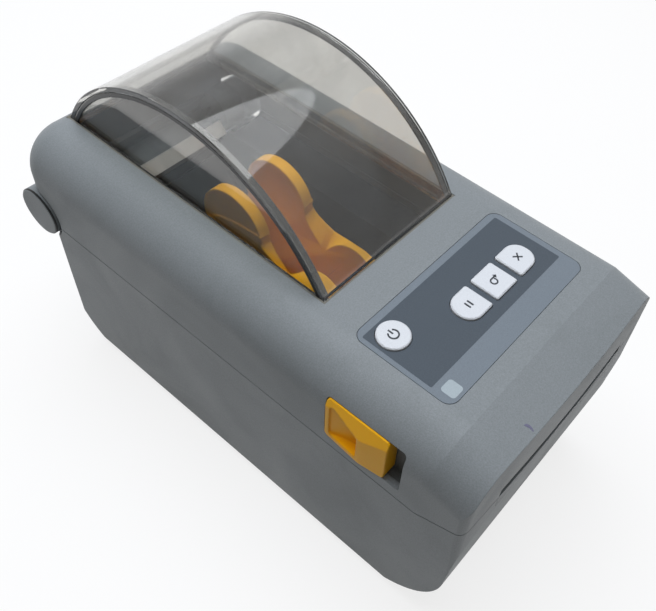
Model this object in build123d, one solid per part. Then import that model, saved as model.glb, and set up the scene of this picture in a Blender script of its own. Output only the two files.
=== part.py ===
# Desktop label printer with a hinged clamshell cover, an arched window and side latches.
# Millimetres. +X right, +Z up, the front faces -Y. The rubber feet stand on z = 0.
import os
from math import atan2, cos, pi, radians, sin, sqrt

from build123d import *

# Overall size
total_length = 221.0
total_width = 115.0
total_height = 151.0
front_y = -total_length / 2
rear_y = total_length / 2
top_z = 112.4                         # height of the top plane at y = 0
cover_height = 37.4                   # from the parting line up to the top plane

# Base shell
case_half = total_width / 2 - 1.5     # half width of the case at the parting line
draft = 1.8                           # how much narrower each side is at the floor
floor_round = 3.0
front_bow = 1.5                       # how far the front edge bulges at the centre
front_corner = 3.0
plan_ease = 0.02                      # the outline from above is this much wider than the sides it meets
wall = 2.5
part_gap = 0.4                        # dark line between base and cover
part_z = top_z - cover_height
part_rise = 8.5                       # the parting line climbs this much to the front
part_front_z = part_z + part_rise
kink_y = front_y + 19.0               # where it starts to climb
foot_height = 2.5
foot_radius = 6.0
plug_radius = 2.0
plug_length = 3.0
floor_z = foot_height + wall          # inside face of the base floor
base_rear_y = rear_y - 12.0
base_rear_corner = 8.0
base_rear_top = part_z - 9.0

# Case screws from below
screw_radius = 1.5
screw_head = 2.8
screw_boss = 4.5
screw_top = 12.0

# Cover top
top_slope = 0.012                     # fall of the top plane towards the front
nose_y = front_y + 15.5               # crease where the nose starts to fall
lip_z = top_z - 5.6
cover_rear_y = rear_y - 3.0
side_round = 17.0
rear_round = 12.0

# Exit slot with its bezel and tear bar
slot_half = case_half - 18.0
slot_top = part_front_z + 4.9
bezel_depth = 9.0
bezel_low = part_front_z - 5.5
bezel_gap = 0.2
tear_y = front_y + 3.4
tear_half = slot_half - 2.0
tear_low = bezel_low + 1.5
tear_thickness = 0.8
tear_tip = part_front_z + 0.1
tear_tooth = 1.5

# Hinge
barrel_radius = 10.3
hinge_y = rear_y - barrel_radius
hinge_z = part_z + 2.6
cap_thickness = 1.1
knuckle_out = total_width / 2 - cap_thickness
knuckle_split = case_half - 10.85     # end of the cover's knuckles
knuckle_in = case_half - 22.0
side_gap = 0.3
scoop_gap = 1.7                       # room in the case round the barrel's ends
pin_radius = 3.0
pin_end = knuckle_out - 2.9
run_gap = 0.05                        # radial clearance of every running fit
shell_ring = 2.0
gutter_gap = 0.4
gutter_thickness = 1.7

# Window
window_half = case_half - 21.4
window_front = front_y + 77.5
window_rear = rear_y - 11.8
window_rise = total_height - top_z
window_wall = 2.0
rim_step = 1.0                        # the side panes sit this far inside the arched sheet
seal_width = 0.8
seal_drop = 0.3
flange = 3.0
flange_thickness = 1.6

# Control panel
panel_half = case_half - 17.3
panel_front = front_y + 23.4
panel_length = 38.7
panel_corner = 4.0
panel_depth = 0.8
field_left = -panel_half + 1.7
field_right = panel_half - 2.3
field_front = panel_front + 8.7
field_length = 27.4
inlay = 0.3
mark_x = -panel_half + 5.7
mark_y = panel_front + 3.9
mark_size = 5.4

# Keys on the panel
key_y = panel_front + 19.0
key_width = 11.8
key_length = 11.6
key_pitch = 14.4
pause_x = panel_half - 42.3
power_x = -panel_half + 8.8
power_y = panel_front + 29.2
power_radius = 5.8
key_rise = 0.9
key_gap = 0.25
key_travel = 0.6
key_rim = 0.8                         # width of the rim that keeps a key in
key_rim_height = 0.8
key_seat = 0.1
dome_height = 0.4
keypad_thickness = 1.2
keypad_post = 2.0

# Side latches
latch_front = front_y + 32.2
latch_length = 24.8
latch_low = part_z + 6.0
latch_high = top_z - 11.4
latch_travel = 6.0
latch_gap = 0.3
latch_back = case_half - 5.8          # inner face of the latch plate
latch_proud = 0.2
latch_ridge = 1.3                     # the latch rises this far out of the case side
latch_ridge_back = 9.8                # place of the ridge behind the latch's front end
arm_thickness = 2.4
arm_y = latch_front + 11.8
arm_length = 4.0
hook_reach = 2.6
hook_low = part_z - 9.0
hook_top = part_z - 5.8
catch_gap = 0.4
guide_gap = 0.4
guide_wall = 1.6
guide_rim = 3.4

# Roll compartment
deck_front = front_y + 74.5
well_rear = base_rear_y - wall - 0.2
well_floor = floor_z + 14.0           # lowest point of the trough, over the board and the racks
roll_y = (deck_front + well_rear) / 2 + 3.6
roll_z = part_z + 10.0
well_radius = min(roll_z - well_floor, (well_rear - deck_front) / 2 + 0.1)
well_half = case_half - 22.0
well_wall = 2.0
deck_z = part_z - 3.0
deck_thickness = 2.0
deck_half = case_half - wall - 0.5
bar_angle = -22.0                     # place of the guide bar round the trough
bar_gap = 0.1                         # and it stays this far before the rear of the trough
bar_height = 8.0
bar_thickness = 1.8

# Roll holders with rack and pinion
holder_x = 10.6                       # inner face of each holder from the middle
holder_thickness = 4.6
holder_travel = well_half - holder_x - holder_thickness - 0.8
foot_trough = 66.0                    # trough radius that the holder's foot is drawn for
holder_web = 2.2
holder_rim = 2.4
head_radius = 13.5
hub_radius = 6.3
hub_length = 3.0
module = 0.8
pinion_teeth = 14
rack_height = 3.0
rack_back = 3.0
rack_drop = 4.6                       # the racks run this far under the trough
tongue_width = 7.0
tongue_thickness = 3.0
tongue_y = 9.0
tongue_gap = 0.5
post_radius = 2.0
post_collar = 3.2
collar_thickness = 0.4

# Feed roller, gears and motor
platen_y = front_y + 18.5
platen_z = part_z + 3.0
platen_radius = 7.0
plate_in = case_half - 21.4
plate_thickness = 2.4
platen_half = plate_in - 3.6
shaft_radius = 3.0
bush_radius = 5.5
bush_rim = 1.2
bush_flange = 1.0
platen_teeth = 24
idler_teeth = 36
motor_teeth = 12
idler_back = 10.0                     # the idler sits this far behind the roller
motor_angle = -43.0
gear_in = plate_in + plate_thickness + 3.2
gear_width = 3.8
gear_end = 0.6
motor_radius = 17.5
motor_length = 22.0
motor_boss = 5.0
motor_shaft_radius = 1.5
stud_radius = 2.5

# Printhead
head_gap = 0.3
head_half = platen_half - 1.0
strip_thickness = 1.2
strip_length = 13.0
sink_length = 15.0
bracket_z = platen_z + 16.0
bracket_half = plate_in - 1.6
bracket_thickness = 1.5
pivot_y = platen_y + 22.0
pivot_z = platen_z + 15.0
pivot_radius = 2.0
cheek_in = plate_in + plate_thickness + 0.3
cheek_thickness = 2.0
cradle_z = top_z - 11.4
cradle_half = latch_back - 4.2
cradle_thickness = 1.8
spring_x = 18.0
spring_y = platen_y + 6.0
spring_radius = 2.6
wire_radius = 0.25
spring_turns = 4

# Media sensor
rail_y = platen_y + 31.0
rail_z = part_z - 5.5
rail_radius = 1.5
sensor_half = 5.0
sensor_travel = plate_in - 16.6
sensor_gap = 0.8

# Rear sockets and circuit board
pocket_half = case_half - 16.0
pocket_low = 9.0
pocket_high = 33.0
pocket_y = base_rear_y - 10.5
pocket_wall = 2.0
board_z = floor_z + 2.0
board_thickness = 1.6
board_top = board_z + board_thickness
board_half = case_half - 14.0
board_front = front_y + 72.5
board_rear = pocket_y - 6.0
board_gap = 0.4
post_inset = 6.0
socket_pitch = pocket_half - 18.0
inlet_x = -pocket_half + 14.0
usb_x = inlet_x + socket_pitch
host_x = usb_x + socket_pitch
socket_radius = 4.6
socket_depth = 16.0


def box(x0, x1, y0, y1, z0, z1):
    return Pos((x0 + x1) / 2, (y0 + y1) / 2, (z0 + z1) / 2) * Box(x1 - x0, y1 - y0, z1 - z0)


def side_prism(face, x0, x1):
    """Extrude an outline drawn in (y, z) from x0 to x1."""
    return extrude(Plane.YZ.offset(x0) * face, x1 - x0)


def front_prism(face, y0, y1):
    """Extrude an outline drawn in (x, z) from y0 to y1."""
    return extrude(Plane.XZ.offset(-y1) * face, y1 - y0)


def rod_x(y, z, radius, x0, x1):
    return side_prism(Pos(y, z) * Circle(radius), x0, x1)


def rod_y(x, z, radius, y0, y1):
    return front_prism(Pos(x, z) * Circle(radius), y0, y1)


def rod_z(x, y, radius, z0, z1):
    return extrude(Plane.XY.offset(z0) * (Pos(x, y) * Circle(radius)), z1 - z0)


def mirror_x(shape):
    return mirror(shape, about=Plane.YZ)


def polygon(points):
    return make_face(Polyline(*points, close=True))


def ring_sector(radius_in, radius_out, start, end):
    """Outline of a ring piece round the hinge axis, in (y, z), angles in degrees."""
    def at(radius, angle):
        return (hinge_y + radius * cos(radians(angle)), hinge_z + radius * sin(radians(angle)))
    middle = (start + end) / 2
    edges = [
        ThreePointArc(at(radius_out, start), at(radius_out, middle), at(radius_out, end)),
        Line(at(radius_out, end), at(radius_in, end)),
        ThreePointArc(at(radius_in, end), at(radius_in, middle), at(radius_in, start)),
        Line(at(radius_in, start), at(radius_out, start)),
    ]
    return make_face(edges)


def top_height(y):
    return top_z + top_slope * y


def plan_face(inset, rear, rear_corner):
    """Outline from above: bowed front, straight sides."""
    side = case_half - inset + plan_ease
    corner_y = front_y + front_bow + inset
    edges = [
        ThreePointArc((-side, corner_y), (0, front_y + inset), (side, corner_y)),
        Line((side, corner_y), (side, rear - inset)),
        Line((side, rear - inset), (-side, rear - inset)),
        Line((-side, rear - inset), (-side, corner_y)),
    ]
    face = make_face(edges)
    front = [v for v in face.vertices() if v.Y < 0]
    face = fillet(front, front_corner - inset * 0.8)
    if rear_corner:
        back = [v for v in face.vertices() if v.Y > 0]
        face = fillet(back, rear_corner - inset)
    return face


def base_solid(inset):
    """The full lower body, standing taller than its rim, before it is cut at the parting line."""
    low = foot_height
    high = part_front_z + 15.0
    chin = (front_y + 2.7, 45.0)
    toe = (front_y + 32.5, low)
    heel = (base_rear_y - 20.5, low)
    back = (base_rear_y, 33.0)
    edges = [
        Line((front_y - 1.0, high), chin),
        ThreePointArc(chin, (front_y + 11.9, 17.6), toe),
        Line(toe, heel),
        ThreePointArc(heel, (base_rear_y - 6.3, 12.5), back),
        Line(back, (base_rear_y, high)),
        Line((base_rear_y, high), (front_y - 1.0, high)),
    ]
    side = make_face(edges)
    floor_half = case_half - draft
    foot_x = floor_half + draft * floor_round / (part_z - low)
    ease = 0.34 * floor_round             # a little flatter than a quarter circle
    outline = [Line((-case_half, high), (case_half, high))]
    for side_x in (-1, 1):
        upper = (side_x * case_half, part_z)
        corner = (side_x * foot_x, low + floor_round)
        flat = (side_x * (floor_half - floor_round), low)
        outline += [
            Line((side_x * case_half, high), upper),
            Line(upper, corner),
            ThreePointArc(corner, (side_x * (floor_half - ease), low + ease), flat),
        ]
    outline.append(Line((-floor_half + floor_round, low), (floor_half - floor_round, low)))
    front = make_face(outline)
    if inset:
        side = offset(side, amount=-inset, kind=Kind.INTERSECTION)
        front = offset(front, amount=-inset, kind=Kind.INTERSECTION)
    solid = side_prism(side, -total_width, total_width) & front_prism(front, -total_length, total_length)
    return solid & extrude(plan_face(inset, base_rear_y, base_rear_corner), total_height)


def cover_solid(inset):
    """The full upper body with its rounded top, before it is cut at the parting line."""
    low = part_z - 20.0
    rear = cover_rear_y - inset
    side = polygon([
        (front_y - 2, low), (front_y - 2, lip_z - inset - 0.4), (nose_y, top_height(nose_y) - inset),
        (rear, top_height(rear) - inset), (rear, low),
    ])
    half = case_half - inset
    solid = side_prism(side, -half, half)
    long_edges = [
        e for e in solid.edges()
        if e.center().Z > part_front_z + 10 and abs(e.center().X) > half - 1
    ]
    solid = fillet(long_edges, side_round - inset)
    rear_edges = [e for e in solid.edges() if e.center().Y > rear - 0.1 and e.center().Z > low + 5]
    solid = fillet(rear_edges, rear_round - inset)
    return solid & extrude(plan_face(inset, cover_rear_y + 10 + inset, 0), total_height)


def part_line(lift):
    """The parting line seen from the side, front to rear, carried on past both ends."""
    beyond = 8.0
    slope = part_rise / (kink_y - front_y)
    front = (front_y - beyond, part_front_z + slope * beyond + lift)
    return [front, (kink_y, part_z + lift), (rear_y + 30, part_z + lift)]


def above_part():
    """Everything over the parting line."""
    line = part_line(part_gap)
    face = polygon([*line, (line[-1][0], total_height + 10), (line[0][0], total_height + 10)])
    return side_prism(face, -total_width, total_width)


def below_part():
    line = part_line(0)
    face = polygon([*line, (line[-1][0], -5), (line[0][0], -5)])
    return side_prism(face, -total_width, total_width)


def catch_ledge():
    """Ledge on the inside of the base wall that the left latch hook works against."""
    front = arm_y + arm_length + hook_reach + catch_gap
    low = hook_top + catch_gap
    return box(-case_half + 1.2, -latch_back + 0.8, front, front + 4.5, low, low + 2.4)


def socket_openings():
    """Holes for the sockets through the wall of the rear pocket."""
    y0 = board_rear - 2.0
    y1 = pocket_y + 7.0
    holes = rod_y(inlet_x, board_top + 6.5, socket_radius, y0, y1)
    holes += box(usb_x - 5.0, usb_x + 5.0, y0, y1, board_top + 1.0, board_top + 10.0)
    return holes + box(host_x - 7.0, host_x + 7.0, y0, y1, board_top + 1.0, board_top + 6.8)


def base_ear():
    """Hinge knuckle of the base on its neck, at the right end."""
    inner = knuckle_split + side_gap
    neck = box(inner, case_half - 3.4, base_rear_y - 7.0, base_rear_y, hinge_z - 19.6, hinge_z - 7.6)
    knuckle = rod_x(hinge_y, hinge_z, barrel_radius, inner, knuckle_out)
    return neck + knuckle - rod_x(hinge_y, hinge_z, pin_radius, inner - 5, knuckle_out + 5)


def hinge_gutter():
    """Lip of the base that closes the gap under the barrel."""
    half = knuckle_in - 0.4
    outer = barrel_radius - shell_ring - gutter_gap
    lip = side_prism(ring_sector(outer - gutter_thickness, outer, -118, 0), -half, half)
    return lip + box(-half, half, base_rear_y - wall, base_rear_y, base_rear_top - 2.0, hinge_z - 7.3)


def base_shell():
    outer = base_solid(0)
    shell = (outer - base_solid(wall)) & below_part()
    # the rear wall is lower in the middle, where the hinge barrel passes over it
    low_half = case_half - 3.5
    shell -= box(-low_half, low_half, base_rear_y - 10.5, rear_y + 10, base_rear_top, total_height)
    shell -= rod_x(hinge_y, hinge_z, barrel_radius + scoop_gap, -total_width, total_width)
    # pocket for the sockets, and the room behind it for the board and the socket bodies
    edge = pocket_wall
    frame = box(-pocket_half - edge, pocket_half + edge, pocket_y - edge, rear_y, pocket_low - edge, pocket_high + edge)
    shell += frame & outer
    shell -= box(-pocket_half, pocket_half, pocket_y, rear_y + 10, pocket_low, pocket_high)
    shell -= socket_openings()
    half = board_half + board_gap
    shell -= box(-half, half, board_front, board_rear + board_gap, board_z - board_gap, board_z + 4)
    shell -= box(inlet_x - 7, host_x + 8, board_rear - 22, pocket_y - pocket_wall, board_top, pocket_high)
    ear = base_ear()
    ledge = catch_ledge()
    shell = shell + ear + mirror_x(ear) + hinge_gutter() + ledge + mirror_x(ledge)
    # bezel seat in the front wall
    seat = slot_half + bezel_gap
    shell -= box(-seat, seat, front_y - 5, front_y + bezel_depth + 1.5, bezel_low - bezel_gap, total_height)
    for x, y in board_spots():
        shell += rod_z(x, y, 3.0, floor_z - 1.0, board_z)
    for x, y in foot_spots():
        shell -= rod_z(x, y, plug_radius, 0, foot_height + plug_length)
    for x, y in screw_spots():
        shell += rod_z(x, y, screw_boss, foot_height, screw_top) & outer
        shell -= rod_z(x, y, screw_head + 0.2, foot_height, foot_height + 3.0)
        shell -= rod_z(x, y, screw_radius, foot_height, screw_top)
    return shell


def board_spots():
    x = board_half - post_inset
    return [(side * x, y) for side in (-1, 1) for y in (board_front + post_inset, board_rear - post_inset)]


def foot_spots():
    x = case_half - 14.0
    return [(side * x, y) for side in (-1, 1) for y in (front_y + 42.5, rear_y - 42.5)]


def screw_spots():
    x = case_half - 8.0
    return [(side * x, y) for side in (-1, 1) for y in (front_y + 62.5, rear_y - 60.5)]


def foot(x, y):
    pad = rod_z(x, y, foot_radius, 0, foot_height)
    pad = chamfer(pad.edges().group_by(Axis.Z)[0], 0.6)
    return pad + rod_z(x, y, plug_radius, foot_height, foot_height + plug_length)


def case_screws():
    """Four screws from below, with hexagonal sockets in their heads."""
    low = foot_height + 1.0
    screws = []
    for x, y in screw_spots():
        head = rod_z(x, y, screw_head, low, low + 2.0)
        head -= extrude(Plane.XY.offset(low) * (Pos(x, y) * RegularPolygon(1.3, 6)), 1.2)
        screws.append(head + rod_z(x, y, screw_radius, low + 2.0, screw_top))
    return Compound(children=screws)


def cover_shell():
    shell = (cover_solid(0) - cover_solid(wall)) & above_part()
    # hinge zone
    shell -= rod_x(hinge_y, hinge_z, barrel_radius, -knuckle_split, knuckle_split)
    for side in (-1, 1):
        ends = sorted((side * knuckle_split, side * total_width))
        shell -= rod_x(hinge_y, hinge_z, barrel_radius + scoop_gap, *ends)
    ring = ring_sector(barrel_radius - shell_ring, barrel_radius, -10, 66)
    shell += side_prism(ring, -knuckle_in - 1, knuckle_in + 1)
    knuckle = rod_x(hinge_y, hinge_z, barrel_radius, knuckle_in, knuckle_split)
    knuckle -= rod_x(hinge_y, hinge_z, pin_radius + run_gap, knuckle_in - 1, knuckle_split + 5)
    shell = shell + knuckle + mirror_x(knuckle)
    # window opening
    half = window_half + seal_width
    front = window_front - seal_width
    shell -= box(-half, half, front, window_rear + seal_width, top_z - 12, top_z + 13)
    # control panel recess with the key holes, and posts that carry the keypad board
    shell -= panel_part(panel_face(0.15), -panel_depth, 3)
    for face in key_faces():
        shell -= panel_part(offset(face, amount=key_gap), -8, 3)
    for x, y in keypad_spots():
        shell += panel_part(Pos(x, y) * Circle(keypad_post), keypad_top(), -wall + 0.3)
    # latch openings
    hole = side_prism(latch_face(latch_gap, latch_travel), -case_half - 4, -case_half + 6)
    shell = shell - hole - mirror_x(hole)
    # media exit slot
    shell -= box(-slot_half, slot_half, front_y - 5, front_y + 10.5, part_z - 5, slot_top)
    return shell


def panel_plane():
    """Plane of the top surface, with its x along the printer's width and y up the slope."""
    return Plane(origin=(0, 0, top_z), x_dir=(1, 0, 0), z_dir=(0, -sin(top_slope), cos(top_slope)))


def panel_part(face, low, high):
    """Extrude an outline drawn on the top plane between two heights over it."""
    return extrude(panel_plane().offset(low) * face, high - low)


def round_rect(x0, x1, y0, y1, radius):
    return Pos((x0 + x1) / 2, (y0 + y1) / 2) * RectangleRounded(x1 - x0, y1 - y0, radius)


def panel_face(grow):
    half = panel_half + grow
    return round_rect(-half, half, panel_front - grow, panel_front + panel_length + grow, panel_corner)


def field_face():
    return round_rect(field_left, field_right, field_front, field_front + field_length, 0.6)


def mark_face():
    half = mark_size / 2
    return round_rect(mark_x - half, mark_x + half, mark_y - half, mark_y + half, 1.2)


def key_faces():
    """Outlines of the power, pause, feed and cancel keys."""
    faces = [Pos(power_x, power_y) * Circle(power_radius)]
    for step in range(3):
        x = pause_x + step * key_pitch
        face = Pos(x, key_y) * Rectangle(key_width, key_length)
        left_radius = 5.4 if step == 0 else 0.9
        right_radius = 5.4 if step == 2 else 0.9
        left = [v for v in face.vertices() if v.X < x]
        face = fillet(left, left_radius)
        right = [v for v in face.vertices() if v.X > x + key_width / 2 - 0.1]
        face = fillet(right, right_radius)
        faces.append(face)
    return faces


def key_body(face):
    """Key cap with the rim under the cover that keeps it in."""
    rim_top = -wall - key_seat
    cap = panel_part(face, rim_top, key_rise)
    top = cap.faces().sort_by(Axis.Z)[-1]
    cap = chamfer(top.edges(), 0.4)
    return cap + panel_part(offset(face, amount=key_rim), rim_top - key_rim_height, rim_top)


def panel_overlay():
    overlay = panel_part(panel_face(0), -panel_depth, 0)
    overlay -= panel_part(field_face(), -inlay, 1)
    overlay -= panel_part(mark_face(), -inlay, 1)
    for face in key_faces():
        overlay -= panel_part(offset(face, amount=key_gap), -3, 3)
    return overlay


def panel_field():
    field = panel_part(field_face(), -inlay, 0)
    for face in key_faces():
        field -= panel_part(offset(face, amount=key_gap), -3, 3)
    return field


def panel_mark():
    return panel_part(mark_face(), -inlay, 0)


def keypad_top():
    """Height of the keypad board over the top plane: the keys reach its domes at full travel."""
    return -(wall + key_seat + key_rim_height + key_travel + 0.1 + dome_height)


def keypad_spots():
    side = panel_half - 5.7
    front = panel_front + 3.4
    return [(-side, front), (-side, front + 14.0), (side, front), (side, front + 28.0)]


def keypad_board():
    high = keypad_top()
    half = panel_half - 2.7
    face = round_rect(-half, half, panel_front + 1.1, panel_front + panel_length - 1.6, 2)
    board = panel_part(face, high - keypad_thickness, high)
    for face in key_faces():
        centre = face.center()
        board += panel_part(Pos(centre.X, centre.Y) * Circle(2.5), high, high + dome_height)
    return board


def window_outline(inset):
    """Arched outline of the window in (y, z), cut off by upright ends below the top plane."""
    reach = (window_rear - window_front) / 2
    radius = (reach ** 2 + window_rise ** 2) / (2 * window_rise)
    disc = Pos((window_front + window_rear) / 2, total_height - radius) * Circle(radius - inset)
    low = top_z - 12
    clip = polygon([
        (window_front + inset, low), (window_rear - inset, low),
        (window_rear - inset, total_height + 10), (window_front + inset, total_height + 10),
    ])
    return disc & clip


def under_top(drop, low, y0, y1):
    """Outline in (y, z) under the top plane, between two distances below it."""
    return polygon([
        (y0, top_height(y0) - low), (y1, top_height(y1) - low),
        (y1, top_height(y1) - drop), (y0, top_height(y0) - drop),
    ])


def cover_window():
    """Clear arched window with flat recessed side panes and a flange under the cover."""
    pane = window_half - rim_step
    body = side_prism(window_outline(0), -window_half, window_half)
    body -= side_prism(window_outline(window_wall), -pane + window_wall, pane - window_wall)
    for side in (-1, 1):
        ends = sorted((side * pane, side * total_width))
        body -= side_prism(window_outline(window_wall), *ends)
    body = body & side_prism(under_top(-60, wall, -total_length, total_length), -total_width, total_width)
    # the flange ends where the rear of the cover starts to round down
    rim = under_top(wall, wall + flange_thickness, window_front - flange, cover_rear_y - rear_round)
    plate = side_prism(rim, -window_half - flange, window_half + flange)
    hole = side_prism(
        under_top(0, 10, window_front + window_wall, window_rear - window_wall),
        -pane + window_wall, pane - window_wall,
    )
    return body + (plate - hole)


def window_seal():
    half = window_half + seal_width
    outline = under_top(seal_drop, wall, window_front - seal_width, window_rear + seal_width)
    hole = side_prism(under_top(-5, 10, window_front, window_rear), -window_half, window_half)
    return side_prism(outline, -half, half) - hole


def latch_face(grow, stretch):
    """Outline of a side latch in (y, z); stretch lengthens it towards the front."""
    front = latch_front - stretch - grow
    return round_rect(front, latch_front + latch_length + grow, latch_low - grow, latch_high + grow, 1.5)


def latch():
    """Left side latch: it rises to an upright ridge, with a finger scoop behind and a hook inside."""
    body = side_prism(latch_face(0, 0), -case_half - 4, -latch_back)
    body = body & front_prism(latch_section(), -total_length, 0)
    rear = latch_front + latch_length
    ridge_y = latch_front + latch_ridge_back
    out = -case_half - latch_proud
    peak = -case_half - latch_ridge
    tent = polygon([
        (-latch_back + 1, latch_front - 1), (out, latch_front - 1), (out, latch_front + 0.8), (peak, ridge_y - 0.4),
        (peak, ridge_y + 0.4), (out, rear), (out, rear + 1), (-latch_back + 1, rear + 1),
    ])
    body = body & extrude(Plane.XY.offset(latch_low - 1) * tent, latch_high - latch_low + 2)
    # the scoop gets deeper towards the ridge, and its upper edge comes down to it
    front = ridge_y + 1.1
    back = rear - 1.8
    opening = polygon([
        (front, latch_low + 1.8), (back, latch_low + 1.8), (back, latch_high - 2.2), (front, latch_high - 6.6),
    ])
    opening = fillet(opening.vertices(), 1.2)
    depth = polygon([(-case_half - 4, front), (-latch_back - 2.2, front), (-case_half + 0.3, back), (-case_half - 4, back)])
    scoop = side_prism(opening, -case_half - 4, -latch_back)
    body -= scoop & extrude(Plane.XY.offset(latch_low) * depth, latch_high - latch_low)
    arm_out = -latch_back - arm_thickness
    arm = box(arm_out, -latch_back, arm_y, arm_y + arm_length, hook_low, latch_low + 2)
    tip = arm_y + arm_length + hook_reach
    nose = box(arm_out, -latch_back, arm_y + 1, tip, hook_low, hook_top)
    return body + arm + nose


def latch_section():
    """Cross outline of the latch in (x, z): upright, then sloping in to the rounding of the cover."""
    start = top_height(latch_front + latch_length / 2) - side_round
    peak = -case_half - latch_ridge
    lean = sqrt(side_round ** 2 - (latch_high - start) ** 2)
    top = (-case_half + side_round - lean - latch_proud, latch_high + 0.1)
    low = hook_low - 6
    inner = -latch_back + 10
    return polygon([(peak, low), (peak, start), top, (inner, latch_high + 0.1), (inner, low)])


def latch_guide():
    """Dark channel behind the left latch opening, fixed inside the cover."""
    rear = latch_front + latch_length + 4.0
    front = latch_front - latch_travel - 4.0
    low = latch_low - 3.0
    back_out = -latch_back + guide_gap
    rim_out = back_out - guide_rim
    back = box(back_out, back_out + guide_wall, front, rear, low, latch_high + 1.0)
    rail = box(rim_out, back_out, front, rear, low, latch_low - 0.8)
    rail -= box(rim_out - 1, back_out, arm_y - latch_travel - 2, arm_y + 8.5, low - 5, latch_high)
    front_wall = box(rim_out, back_out, front, front + 2.0, low, latch_high - 4.0)
    rear_wall = box(rim_out, back_out, rear - 2.0, rear, low, latch_high - 4.0)
    return back + rail + front_wall + rear_wall


def front_bezel():
    """Lower edge of the exit slot, sloping down inwards, with the groove for the tear bar."""
    back = front_y + bezel_depth
    high = part_front_z + 0.1
    block = box(-slot_half, slot_half, front_y - 5, back, bezel_low, high) & base_solid(0)
    ramp = polygon([(front_y + 4.6, high + 0.9), (back + 1, high + 0.9), (back + 1, high - 2.1)])
    block -= side_prism(ramp, -total_width, total_width)
    groove = tear_half + 0.4
    return block - box(-groove, groove, tear_y, tear_y + tear_thickness, tear_low, total_height)


def tear_bar():
    """Serrated steel strip that the label is torn against."""
    count = round(2 * tear_half / tear_tooth)
    pitch = 2 * tear_half / count
    points = [(-tear_half, tear_low), (-tear_half, tear_tip - 0.8)]
    for i in range(count):
        x = -tear_half + i * pitch
        points += [(x + pitch / 2, tear_tip), (x + pitch, tear_tip - 0.8)]
    points.append((tear_half, tear_low))
    return front_prism(polygon(points), tear_y, tear_y + tear_thickness)


def hinge_pin():
    return rod_x(hinge_y, hinge_z, pin_radius, -pin_end, -knuckle_in - 2.0)


def hinge_cap():
    """Disc that closes the left end of the hinge, on a plug in the pin's bore."""
    disc = rod_x(hinge_y, hinge_z, barrel_radius, -knuckle_out - cap_thickness, -knuckle_out)
    outer = disc.faces().sort_by(Axis.X)[0]
    disc = chamfer(outer.edges(), 0.5)
    return disc + rod_x(hinge_y, hinge_z, pin_radius, -knuckle_out, -pin_end - 0.5)


def media_well():
    """Trough that holds the label roll, with a deck round its mouth."""
    outer = rod_x(roll_y, roll_z, well_radius + well_wall, -well_half - well_wall, well_half + well_wall)
    inner = rod_x(roll_y, roll_z, well_radius, -well_half, well_half)
    outer = outer & box(-total_width, total_width, deck_front - 4, well_rear, floor_z, deck_z)
    deck = box(-deck_half, deck_half, deck_front, well_rear - 7.8, deck_z - deck_thickness, deck_z)
    well = outer + deck - inner
    for side in (-1, 1):
        y = roll_y + side * tongue_y
        half = tongue_width / 2 + tongue_gap
        inner_end = side * (holder_x - 1.2)
        outer_end = side * (holder_x + holder_travel + tongue_thickness + 1.2)
        ends = sorted((inner_end, outer_end))
        well -= box(*ends, y - half, y + half, floor_z, roll_z - well_radius + 20)
    well -= rod_z(0, roll_y, post_radius, floor_z, roll_z - well_radius + 1)
    for side in (-1, 1):
        ends = sorted((side * (knuckle_in - 0.5), side * total_width))
        well -= rod_x(hinge_y, hinge_z, barrel_radius + 0.8, *ends)
    # the pale guide bar across the rear of the trough has its own seat
    return well - guide_bar()


def guide_bar():
    """Pale bar across the trough behind the roll holders."""
    back = min(roll_y + well_radius * cos(radians(bar_angle)) + 1.0, well_rear - bar_gap)
    z = roll_z - sqrt(well_radius ** 2 - (back - 1.0 - roll_y) ** 2)
    return box(-well_half, well_half, back - bar_thickness, back, z - bar_height / 2, z + bar_height / 2)


def foot_point(forward, down):
    """Point of a holder's foot in (y, z); the foot is drawn for the foot_trough radius and grows with the trough."""
    scale = well_radius / foot_trough
    return (roll_y - forward * scale, roll_z - down * scale)


def holder_outline():
    """Side outline of a roll holder in (y, z): round head, stem and a foot that flares forward."""
    head = Pos(roll_y, roll_z) * Circle(head_radius)
    stem_front = (roll_y - head_radius + 0.5, roll_z - 3.5)
    stem_rear = (roll_y + head_radius - 0.3, roll_z - 3.0)
    heel = (roll_y + head_radius + 1.5, foot_point(0, 55.0)[1])
    toe = foot_point(39.5, 55.0)
    flare = foot_point(54.5, 19.0)
    tip = foot_point(47.5, 14.0)
    edges = [
        Line(stem_rear, heel),
        Line(heel, toe),
        ThreePointArc(toe, foot_point(50.0, 37.0), flare),
        ThreePointArc(flare, foot_point(52.0, 15.4), tip),
        ThreePointArc(tip, foot_point(25.5, 9.5), stem_front),
        Line(stem_front, stem_rear),
    ]
    return head + make_face(edges)


def holder_plate():
    """Left roll holder above the trough floor."""
    outline = holder_outline()
    inner = -holder_x
    arm = side_prism(outline, inner - holder_thickness, inner)
    hollow = offset(outline, amount=-holder_rim, kind=Kind.ARC)
    arm -= side_prism(hollow, inner - holder_thickness - 1, inner - holder_web)
    arm += rod_x(roll_y, roll_z, hub_radius, inner, inner + hub_length)
    arm -= rod_x(*foot_point(37.5, 35.0), 10.5 * well_radius / foot_trough, inner - 20, inner + 20)
    # the foot follows the trough
    return arm & rod_x(roll_y, roll_z, well_radius - 0.6, -total_width, total_width)


def rack_top():
    return roll_z - well_radius - well_wall - rack_drop


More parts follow.
